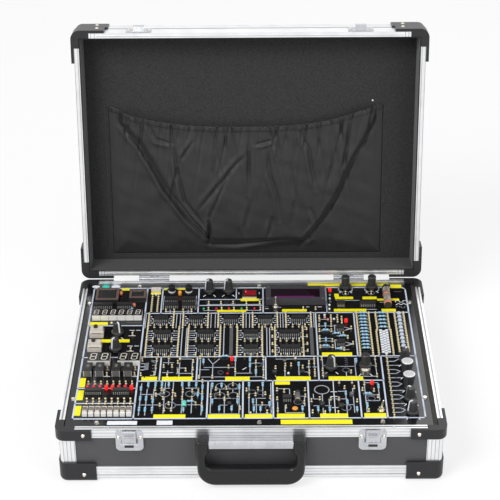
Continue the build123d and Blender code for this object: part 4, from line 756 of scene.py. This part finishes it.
def lit_lamp(x, y, foot):
    fittings.turned(x, y, [(2.3, foot), (2.32, 4.8), (1.9, 5.7), (0.9, 6.15)], 16, LED_LIT)


for i, x in enumerate(LAMPS):
    lit = i in (3, 4, 7)
    fittings.turned(x, -83.5, [(2.5, 0), (2.5, 2.4), (2.3, 3.2)], 16, LED_LIT if lit else BLACK)
    if lit:
        lit_lamp(x, -83.5, 2.8)
for x, y in ((109.5, 143), (127.5, 66), (-21.8, -21.9), (152.5, -76)):
    fittings.turned(x, y, [(2.6, 0), (2.6, 0.9)], 16)
    lit_lamp(x, y, 0.5)
for x in (-106, -83):
    fittings.turned(x, 146, [(4.9, 0), (4.9, 1.6), (4.6, 1.9)], 20, WHITE)
    fittings.turned(x, 146, [(4.62, 1.8), (4.62, 8.6), (3.9, 9.1)], 20)
for x, y0, y1, z, rings, sides, material in (
    (-79, -125.5, -114.5, 2.7, [(0, 2.75), (1, 2.75)], 14, TEAL),
    (59.5, -112, -100, 3.3, [(0, 3.3), (0.5, 3.35), (1, 3.3)], 14, GREY),
    (59.5, -116.5, -112, 3.3, [(0, 2.5), (1, 3.35)], 14, TAN),
    (185.5, 101.2, 105.5, 5.1, [(0, 5.15), (1, 5.2)], 18, RUST),
    (185.5, 105.5, 141, 5.1, [(0, 5.15), (1, 5.15)], 18, TUBE),
    (185.5, 124, 126.5, 5.1, [(0, 5.25), (1, 5.25)], 18, RUST),
    (185.5, 141, 147, 5.1, [(0, 5.2), (1, 5.0)], 18, BLACK),
):
    fittings.rod((x, y0, z), (x, y1, z), rings, sides, material)
for x in SWITCHES:
    fittings.block(x, -140.8, 0.4, (5.9, 0.5, 4.5), WHITE)
    fittings.block(x, -139.4, 4.95, (5.9, 1.8, 0.2), WHITE)
    fittings.block(x, -133.0, 4.95, (5.0, 10.0, 0.12))
for x in (-202.5, -187.5, -167, -152):
    fittings.block(x, -47, 8.95, (9.9, 18.4, 0.2))
    fittings.block(x, -56.6, 0.3, (9.6, 0.3, 8.4), GREY)
    # Pale strips down both edges of each thumb wheel's face: painted highlights.
    for side in SIDES:
        fittings.block(x + side * 4.7, -56.7, 0.3, (0.7, 0.4, 8.4), SILVER_AND_HIGHLIGHT)
    fittings.block(x, -45.0, 9.1, (3.6, 6.0, 0.3), GREY)
for x, y in ((-199, 39), (-199, 6.5)):
    for sy in SIDES:
        fittings.block(x, y + sy * 6.1, 5.95, (17, 2.2, 0.15), GREY)
        for sx in SIDES:
            fittings.turned(x + sx * 6.9, y + sy * 5.4, [(0.9, 6.0), (0.9, 6.5)], 8, SILVER_AND_HIGHLIGHT)
fittings.block(-127.5, 147, 0.0, (13, 8, 4.2), BEIGE)
for i in range(4):
    fittings.turned(-132 + i * 3, 147, [(0.7, 4.2), (0.7, 5.6)], 6, SILVER_AND_HIGHLIGHT)
fittings.finish(bevel=0.12)

for i in range(8):
    name = f"slide_actuator_{i + 1}"
    x, y, _ = top_of(name)
    top = Shape(name + "_top", BLACK, BEIGE)
    top.ring(x, y, 1.3, 0.45, BLACK, 9.45, sides=12)
    top.ring(x, y, 0.55, 0.4, BEIGE, 9.45, 0.1, sides=8)
    top.finish(name)

# ---------------------------------------------------------------------- rocker
bezel = Shape("rocker_bezel", BLACK)
for x, y, size in (
    (0, 139.2, (20, 2.4, 1.1)), (0, 125.8, (20, 2.4, 1.1)),
    (-9.3, 132.5, (1.6, 11, 1.1)), (9.3, 132.5, (1.6, 11, 1.1)),
):
    bezel.block(x, y, 4.4, size, taper=0.99)
bezel.finish(bevel=0.15)
rocker_marks = Shape("rocker_marks", PALE)
x, y, high = top_of("power_rocker")
rocker_marks.block(x - 5.4, y, high - 1.35, (0.8, 3.4, 0.5))
rocker_marks.finish("power_rocker", 0.05)

# ----------------------------------------------------------------------- knobs
KNOB_BASE = 3.0
KNOBS = {name: top_of(name) for name in frame["nodes"] if name.startswith(("knob_", "pot_knob_"))}
TALL_KNOBS = ("knob_signal_left", "knob_signal_right", "knob_sensor")
POINTER_ANGLES = {
    "knob_left_upper": -60, "knob_left_lower": 230, "knob_top_left": 205, "knob_top_right": 205,
    "knob_amplifier": -50, "pot_knob_1": 60, "pot_knob_4": 140, "pot_knob_5": 200,
}

marks = Shape("knob_scales", PALE)
for x, y, _ in KNOBS.values():
    for angle in (235, 305):
        dx, dy = direction(angle)
        marks.line((x + 10 * dx, y + 10 * dy, x + 14 * dx, y + 14 * dy), 1.2)
marks.finish()


def pointer_line(name, angle):
    """White stripe over a knob's top and down its side, sunk slightly into it."""
    x, y, top = KNOBS[name]
    shape = Shape(name + "_pointer", PALE)
    dx, dy = direction(angle)
    foot, shoulder, rim = (5.6, 5.6, 4.9) if name in TALL_KNOBS else (6.2, 4.7, 4.0)
    path = [(foot, KNOB_BASE + 3.0), (shoulder, top - 0.8), (rim, top), (0.6, top)]
    for (r0, z0), (r1, z1) in zip(path, path[1:]):
        loops = []
        for radius, z in ((r0, z0), (r1, z1)):
            loop = []
            for side, grow in ((-0.9, -0.4), (0.9, -0.4), (0.9, 0.5), (-0.9, 0.5)):
                lift = grow if z0 == z1 else 0.0
                reach = radius + (0.0 if lift else grow)
                loop.append(on_board(x + dx * reach - dy * side, y + dy * reach + dx * side, z + lift))
            loops.append(loop)
        shape.faces(loops)
    shape.finish(name)


for name, angle in POINTER_ANGLES.items():
    pointer_line(name, angle)
for name in ("pot_knob_2", "pot_knob_3"):
    x, y, top = KNOBS[name]
    cap = Shape(name + "_cap", CAP, SILVER_AND_HIGHLIGHT)
    cap.turned(x, y, [(7.3, top - 0.1), (7.3, top + 0.2), (6.9, top + 0.4)], 32, SILVER_AND_HIGHLIGHT)
    cap.turned(x, y, [(6.3, top + 0.3), (6.1, top + 0.55)], 32)
    cap.finish(name)

# -------------------------------------------------------------------- displays
x, y, _ = top_of("display_module")
glass = Shape("display_glass", GLASS, MAGENTA, GREY)
glass.block(x, y, 7.3, (66.0, 22.0, 0.35))
glass.block(x - 0.5, y - 8.6, 7.66, (52.0, 2.6, 0.08), MAGENTA)
for sx in SIDES:
    for sy in SIDES:
        glass.turned(x + sx * 36.5, y + sy * 14.5, [(1.7, 8.4), (1.7, 8.8), (1.2, 9.0)], 14, GREY)
glass.finish()

digits = Shape("digit_faces", DARK_FACE, SEGMENT, CREAM)
BARS = (((-0.5, 1), (0.5, 1)), ((0.5, 1), (0.5, 0)), ((0.5, 0), (0.5, -1)), ((-0.5, -1), (0.5, -1)),
        ((-0.5, 0), (-0.5, -1)), ((-0.5, 1), (-0.5, 0)), ((-0.5, 0), (0.5, 0)))
BAR_TRIM = 0.16  # share of a bar's length that is left free at each end
FACE_HIGH = 8.0


def digit(x, y, wide, tall, size, material):
    """Dark face with the seven bars of an unlit figure eight."""
    digits.block(x, y, FACE_HIGH, (wide, tall, 0.25))
    for ends in BARS:
        (x0, y0), (x1, y1) = [(x + (bx + by * 0.1) * size * 0.85, y + by * size * 0.8) for bx, by in ends]
        trim_x, trim_y = (x1 - x0) * BAR_TRIM, (y1 - y0) * BAR_TRIM
        path = (x0 + trim_x, y0 + trim_y, x1 - trim_x, y1 - trim_y)
        digits.line(path, 1.1, material, FACE_HIGH + 0.2)


for i in range(6):
    digit(-175.4 + (i - 2.5) * 11.0, 81.5, 10.7, 15.8, 6.4, SEGMENT)
for x in (-190.5, -152.5):
    for side in SIDES:
        digit(x + side * 7.1, -23.1, 13.8, 18.8, 8.2, CREAM)
digits.finish()

# ----------------------------------------------------- square chips, chip feet
extras = Shape("chip_details", SOCKET, CHIP, LEG, LEG_SHADED, GREY)
EDGE_WIDE, FOOT_PITCH = 3.6, 1.9
for x, y, wide, deep in ((-192.3, 129.0, 31.0, 30.0), (-151.0, 129.0, 23.0, 21.0)):
    across, along = (wide - EDGE_WIDE) / 2, (deep - EDGE_WIDE) / 2
    for side in SIDES:
        extras.block(x, y - side * along, 6.9, (wide, EDGE_WIDE, 0.7), taper=0.98)
    for side in SIDES:
        extras.block(x - side * across, y, 6.9, (EDGE_WIDE, deep - 7.4, 0.7), taper=0.98)
    extras.block(x, y, 5.5, (wide - 9.0, deep - 9.0, 1.6), CHIP)
    for i in range(int((wide - 10) / FOOT_PITCH)):
        for side, tall in ((1, 1.5), (-1, 1.2)):
            place = x - (wide - 11) / 2 + i * FOOT_PITCH
            extras.block(place, y + side * (deep - 8.4) / 2, 5.6, (0.9, 1.2, tall), LEG)
ALL_CHIPS = CHIP_ROWS | {
    119.7: ((-105.2, 7), (-82.1, 7)), 105.8: ((-104.5, 7), (-81.5, 7), (-196.6, 10), (-167.1, 8)),
    107.4: ((122.8, 4), (158.9, 8)), -92.0: ((-191.8, 8), (-157.7, 8)), -108.5: ((46.7, 4),),
    48.7: ((118.7, 4),), 13.7: ((118.1, 4),),
}
for y, chips in ALL_CHIPS.items():
    for x, count in chips:
        for i in range(count):
            px = x + (i - (count - 1) / 2) * CHIP_PITCH
            # The rear row takes the darker copy of the leg colour, as painted shade.
            extras.block(px, y + 3.9, 3.1, (1.3, 1.5, 1.5), LEG_SHADED)
            extras.block(px, y - 3.9, 3.1, (0.9, 1.2, 0.9), LEG)
            extras.block(px, y - 4.5, 1.2, (0.8, 0.4, 1.6), LEG)
        extras.turned(x - count * CHIP_PITCH / 2 + 1.2, y, [(0.9, 4.55), (0.9, 4.68)], 10, GREY)
extras.finish()

# ------------------------------------------------------------- latches and rim
for side in ("left", "right"):
    low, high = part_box("latch_lever_" + side)
    middle, front, base = (low[0] + high[0]) / 2 / MM, low[1] / MM, low[2] / MM
    lever = Shape(f"latch_{side}_marks", BLACK, STEEL, place=in_frame)
    # Black band at the lever's foot: painted shadow under the lever.
    lever.block(middle, front - 0.05, base + 0.6, (11.0, 0.5, 3.4))
    lever.block(middle, front - 0.35, base + 14.0, (11.0, 0.7, 1.2), STEEL)
    lever.block(middle, front - 0.35, base + 17.0, (11.0, 0.7, 0.8), STEEL)
    lever.finish("latch_" + side, 0.1)
flanges = Shape("rim_marks", GREY, ALUMINIUM, place=in_frame)
for x in (-170, 170):
    flanges.turned(x, -213.6, [(1.9, 77.4), (1.9, 77.54)], 14)
    flanges.turned(x, -213.6, [(1.3, 77.45), (1.2, 77.58)], 14, ALUMINIUM)
flanges.finish()

# ---------------------------------------------------------- lid's cloth pocket
EDGE = [(-190, 62), (-160, 48), (-120, 40), (-80, 35), (-40, 33), (0, 33.5), (40, 34), (80, 37), (120, 45),
        (150, 56), (178, 62)]
FOLDS = [  # depth, width, and the points of each fold in the cloth
    (2.6, 3.2, [(-178, 38), (-152, 6), (-136, -22), (-118, -58), (-105, -76), (-88, -100), (-62, -128)]),
    (2.2, 2.8, [(-107, 33), (-104, 0), (-101, -27), (-91, -72), (-77, -92), (-64, -110), (-58, -118)]),
    (1.8, 2.4, [(-101, -27), (-109, -67)]), (4.0, 2.6, [(-58, -103), (-58, -138)]),
    (2.4, 3.4, [(-58, -139), (-20, -140), (20, -133), (40, -130), (80, -131)]),
    (2.6, 3.2, [(172, 45), (167, 33), (155, 10), (143, -10), (131, -38), (118, -70), (101, -100), (83, -124),
                (67, -145)]),
    (2.0, 2.6, [(132, 34), (131, 3), (127, -24), (128, -40)]), (2.0, 2.8, [(-1, 27), (-3, -32), (-2, -60)]),
    (1.6, 3.0, [(-5, -5), (-22, -22), (-60, -70), (-70, -83)]), (1.2, 2.6, [(-28, -27), (-58, -100)]),
    (1.4, 2.2, [(6, 8), (30, 14)]), (1.6, 2.4, [(36, 22), (38, -10)]),
    (2.0, 3.0, [(22, 2), (27, -37), (36, -65), (40, -100)]),
    (2.0, 2.8, [(68, 25), (79, 0), (84, -30), (90, -55)]),
    (1.5, 2.6, [(30, -98), (24, -126)]), (1.6, 2.6, [(82, -83), (91, -107), (79, -127)]),
    (1.7, 2.6, [(-140, 40), (-128, 16), (-108, 10)]), (1.5, 2.4, [(-79, 12), (-94, -12)]),
    (1.2, 3.4, [(52, -20), (62, -70), (58, -104)]), (1.2, 3.0, [(-44, 8), (-50, -30), (-44, -62)]),
    (1.3, 3.0, [(108, 20), (112, -20), (104, -52)]), (1.2, 3.4, [(0, -75), (-8, -110), (-4, -128)]),
]
LEFT_EDGE, RIGHT_EDGE, LOW_EDGE = -192.0, 179.0, -152.0
LEAST, MOST = 0.45, 15.9  # heights of the cloth, so that the lid shuts over the tall knobs
WAVE = 6.28
across = np.linspace(LEFT_EDGE, RIGHT_EDGE, 340)
share = np.linspace(0.0, 1.0, 150)
edge = np.interp(across, *zip(*EDGE))
edge = np.convolve(np.pad(edge, 12, mode="edge"), np.ones(25) / 25, mode="valid")
X = np.repeat(across[:, None], len(share), axis=1)
Y = LOW_EDGE + (edge[:, None] - LOW_EDGE) * share[None, :]
inside = np.minimum(np.minimum(X - LEFT_EDGE, RIGHT_EDGE - X), Y - LOW_EDGE)
ease = np.sin(np.clip(inside / 26.0, 0, 1) * math.pi / 2)
dome = np.exp(-((X + 10) / 110) ** 2 - ((Y + 70) / 60) ** 2)
left_fold = np.interp(Y, [-128, -100, -76, -58, -22, 6, 38], [-62, -88, -105, -118, -136, -152, -178])
right_fold = np.interp(Y, [-145, -124, -100, -70, -38, 10, 45], [67, 83, 101, 118, 131, 155, 172])


def rise(value, wide):
    value = np.clip(value / wide, 0, 1)
    return value * value * (3 - 2 * value)


bag = rise(X - left_fold + 3, 16) * rise(right_fold - X + 3, 16) * rise(Y + 140, 14)
height = 0.5 + ease * (3.0 + 7.8 * bag + 3.6 * dome * bag)
roll = np.random.default_rng(7)
for _ in range(26):
    angle, length = roll.uniform(0, math.pi), roll.uniform(16, 60)
    phase, size = roll.uniform(0, WAVE), roll.uniform(0.05, 0.13)
    height += ease * size * np.sin((X * math.cos(angle) + Y * math.sin(angle)) / length * WAVE + phase)


def fold(depth, width, points):
    """Valley along a line of points with a ridge beside it, fading at both ends."""
    best = np.full(X.shape, 1e9)
    signed, along = np.zeros(X.shape), np.zeros(X.shape)
    lengths = [math.dist(a, b) for a, b in zip(points, points[1:])]
    done, total = 0.0, sum(lengths)
    for (ax, ay), (bx, by), length in zip(points, points[1:], lengths):
        dx, dy = (bx - ax) / length, (by - ay) / length
        t = np.clip((X - ax) * dx + (Y - ay) * dy, 0, length)
        away = np.hypot(X - ax - dx * t, Y - ay - dy * t)
        near = away < best
        best = np.where(near, away, best)
        signed = np.where(near, away * np.sign((X - ax) * dy - (Y - ay) * dx), signed)
        along = np.where(near, (done + t) / total, along)
        done += length
    fade = np.sqrt(np.clip(np.sin(np.clip(along, 0.02, 0.98) * math.pi), 0, 1))
    ridge = 0.65 * np.exp(-(((signed - 2.1 * width) / (1.25 * width)) ** 2))
    return depth * fade * (ridge - np.exp(-((signed / width) ** 2)) * (best < 5 * width))


for depth, width, points in FOLDS:
    height += ease * fold(depth * 1.35, width * 0.9, points)
below = edge[:, None] - Y
gathers = np.random.default_rng(11)
for place in np.arange(-182, 172, 6.3):
    place += gathers.uniform(-1.5, 1.5)
    reach, lean, depth = gathers.uniform(16, 60), gathers.uniform(-0.3, 0.3), gathers.uniform(1.2, 4.2)
    height -= ease * depth * np.exp(-(((X - place - lean * below) / 2.0) ** 2)) * np.exp(-below / reach)
height += ease * 0.55 * np.sin(X / 4.8 * WAVE) * np.exp(-((below / 6.0) ** 2))
height += 0.9 * np.clip((7.0 - below) / 1.2, 0, 1) * np.clip(inside / 6, 0, 1)
height = np.clip(height, LEAST, MOST)

pocket_mesh = bpy.data.meshes.new("cloth_pocket")
points = [on_lid(x, y, h) for x, y, h in zip(X.ravel(), Y.ravel(), height.ravel())]
rows = len(share)
quads = [(i * rows + j, (i + 1) * rows + j, (i + 1) * rows + j + 1, i * rows + j + 1)
         for i in range(len(across) - 1) for j in range(rows - 1)]
pocket_mesh.from_pydata(points, [], quads)
pocket_mesh.materials.append(CLOTH)
for polygon in pocket_mesh.polygons:
    polygon.use_smooth = True
pocket = bpy.data.objects.new("cloth_pocket", pocket_mesh)
bpy.context.scene.collection.objects.link(pocket)
put(pocket.modifiers.new("cloth", "SOLIDIFY"), thickness=0.8 * MM, offset=0.0)
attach(pocket, "lid")
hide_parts("lid_pocket")

stitches = Shape("lid_stitching", THREAD, WHITE, place=on_lid)


def seam(x0, y0, x1, y1, gap=3.0):
    """A row of short threads on the lining."""
    length = math.hypot(x1 - x0, y1 - y0)
    ux, uy = (x1 - x0) / length, (y1 - y0) / length
    for i in range(int(length / gap)):
        start = i * gap + 0.5
        ends = [(x0 + ux * s, y0 + uy * s, 0.15) for s in (start, start + gap * 0.62)]
        stitches.rod(*ends, [(0, 0.25), (0.5, 0.42), (1, 0.25)], 5)


for x in (-197, -193.6, 181):
    seam(x, 62, x, -150)
for y in (-154, -157):
    seam(-193, y, 181, y)
seam(-221.5, 110, -221.5, -150, 5.0)
stitches.rod((165, 66.5, 0.1), (165, 66.5, 0.7), [(0, 1.3), (1, 0.9)], 10, WHITE)
stitches.finish("lid")
loose = Shape("loose_thread", THREAD, place=on_lid)
shares = [i / 24 for i in range(25)]
loose.tube([on_lid(186 + 2.4 * math.sin(t * 3.4) - 5 * t * t, -40 - 46 * t, 0.6) for t in shares], 0.35)
loose.finish("lid")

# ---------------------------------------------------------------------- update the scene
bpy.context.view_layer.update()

# ----------------------------------------------------------- stage and camera
scene = bpy.context.scene
REACH = 6
floor_mesh = bpy.data.meshes.new("floor")
corners = [(-REACH, -REACH, 0), (REACH, -REACH, 0), (REACH, REACH, 0), (-REACH, REACH, 0)]
floor_mesh.from_pydata(corners, [], [(0, 1, 2, 3)])
floor = bpy.data.objects.new("floor", floor_mesh)
scene.collection.objects.link(floor)


def shown_brighter(tree, rays, share, plain, bright, output):
    """Mixes bright into plain, by share, for the named kinds of ray alone."""
    kinds = node(tree, "LightPath").outputs
    seen = kinds[rays[0]]
    for name in rays[1:]:
        seen = calc(tree, "MAXIMUM", seen, kinds[name])
    mix = node(tree, "MixShader", calc(tree, "MULTIPLY", seen, share), plain.outputs[0], bright.outputs[0])
    tree.links.new(mix.outputs[0], tree.nodes[output].inputs["Surface"])


paper, tree, shader = nodes_of("floor_paper")
put(shader, Base_Color=(0.93, 0.93, 0.93, 1), Roughness=1.0)
white = node(tree, "Emission", Strength=1.0)
shown_brighter(tree, ("Is Camera Ray", "Is Glossy Ray"), 0.7, shader, white, "Material Output")
floor_mesh.materials.append(paper)

world = bpy.data.worlds.new("studio")
scene.world = world
world.use_nodes = True
tree = world.node_tree
soft = put(tree.nodes["Background"], Color=(1, 1, 1, 1), Strength=0.55)
plain = node(tree, "Background", Color=(1, 1, 1, 1), Strength=1.0)
rays = ("Is Camera Ray", "Is Transmission Ray", "Is Glossy Ray")
shown_brighter(tree, rays, 1.0, soft, plain, "World Output")


def lamp(name, place, target, size, power):
    data = bpy.data.lights.new(name, "AREA")
    data.size = size
    data.energy = power
    obj = bpy.data.objects.new(name, data)
    scene.collection.objects.link(obj)
    obj.location = place
    obj.rotation_euler = (Vector(target) - Vector(place)).to_track_quat("-Z", "Y").to_euler()


lamp("key", (-1.2, -1.4, 2.0), (0, 0, 0.1), 1.1, 43)
lamp("fill", (1.6, -1.2, 1.3), (0, 0, 0.1), 1.8, 14)
lamp("back", (0.3, 1.6, 1.8), (0, 0, 0.2), 1.4, 8)

# The camera as fitted to the photograph, from the middle of the case's front edge.
FOCAL, IMAGE_WIDE = 1545.3, 500  # in pixels
SENSOR_WIDE = 36.0
PITCH, YAW, ROLL = (math.radians(a) for a in (30.1663, 0.37453, -0.46849))
CAMERA_X, CAMERA_BEFORE, CAMERA_HIGH = 0.010318, 1.480239, 1.183537
CASE_DEPTH = 0.340
front_y = BY - CASE_DEPTH / 2
turns = [Matrix.Rotation(a, 3, axis) for a, axis in ((ROLL, "Z"), (math.pi / 2 + PITCH, "X"), (-YAW, "Z"))]
right, down, forward = turns[0] @ turns[1] @ turns[2]
camera_data = bpy.data.cameras.new("camera")
camera_data.sensor_width = SENSOR_WIDE
camera_data.lens = FOCAL / IMAGE_WIDE * SENSOR_WIDE
camera = bpy.data.objects.new("camera", camera_data)
scene.collection.objects.link(camera)
columns = Matrix((right, -down, -forward)).transposed()
place = Matrix.Translation((CAMERA_X, front_y - CAMERA_BEFORE, CAMERA_HIGH))
camera.matrix_world = place @ columns.to_4x4()
scene.camera = camera
scene.view_settings.view_transform = "Standard"
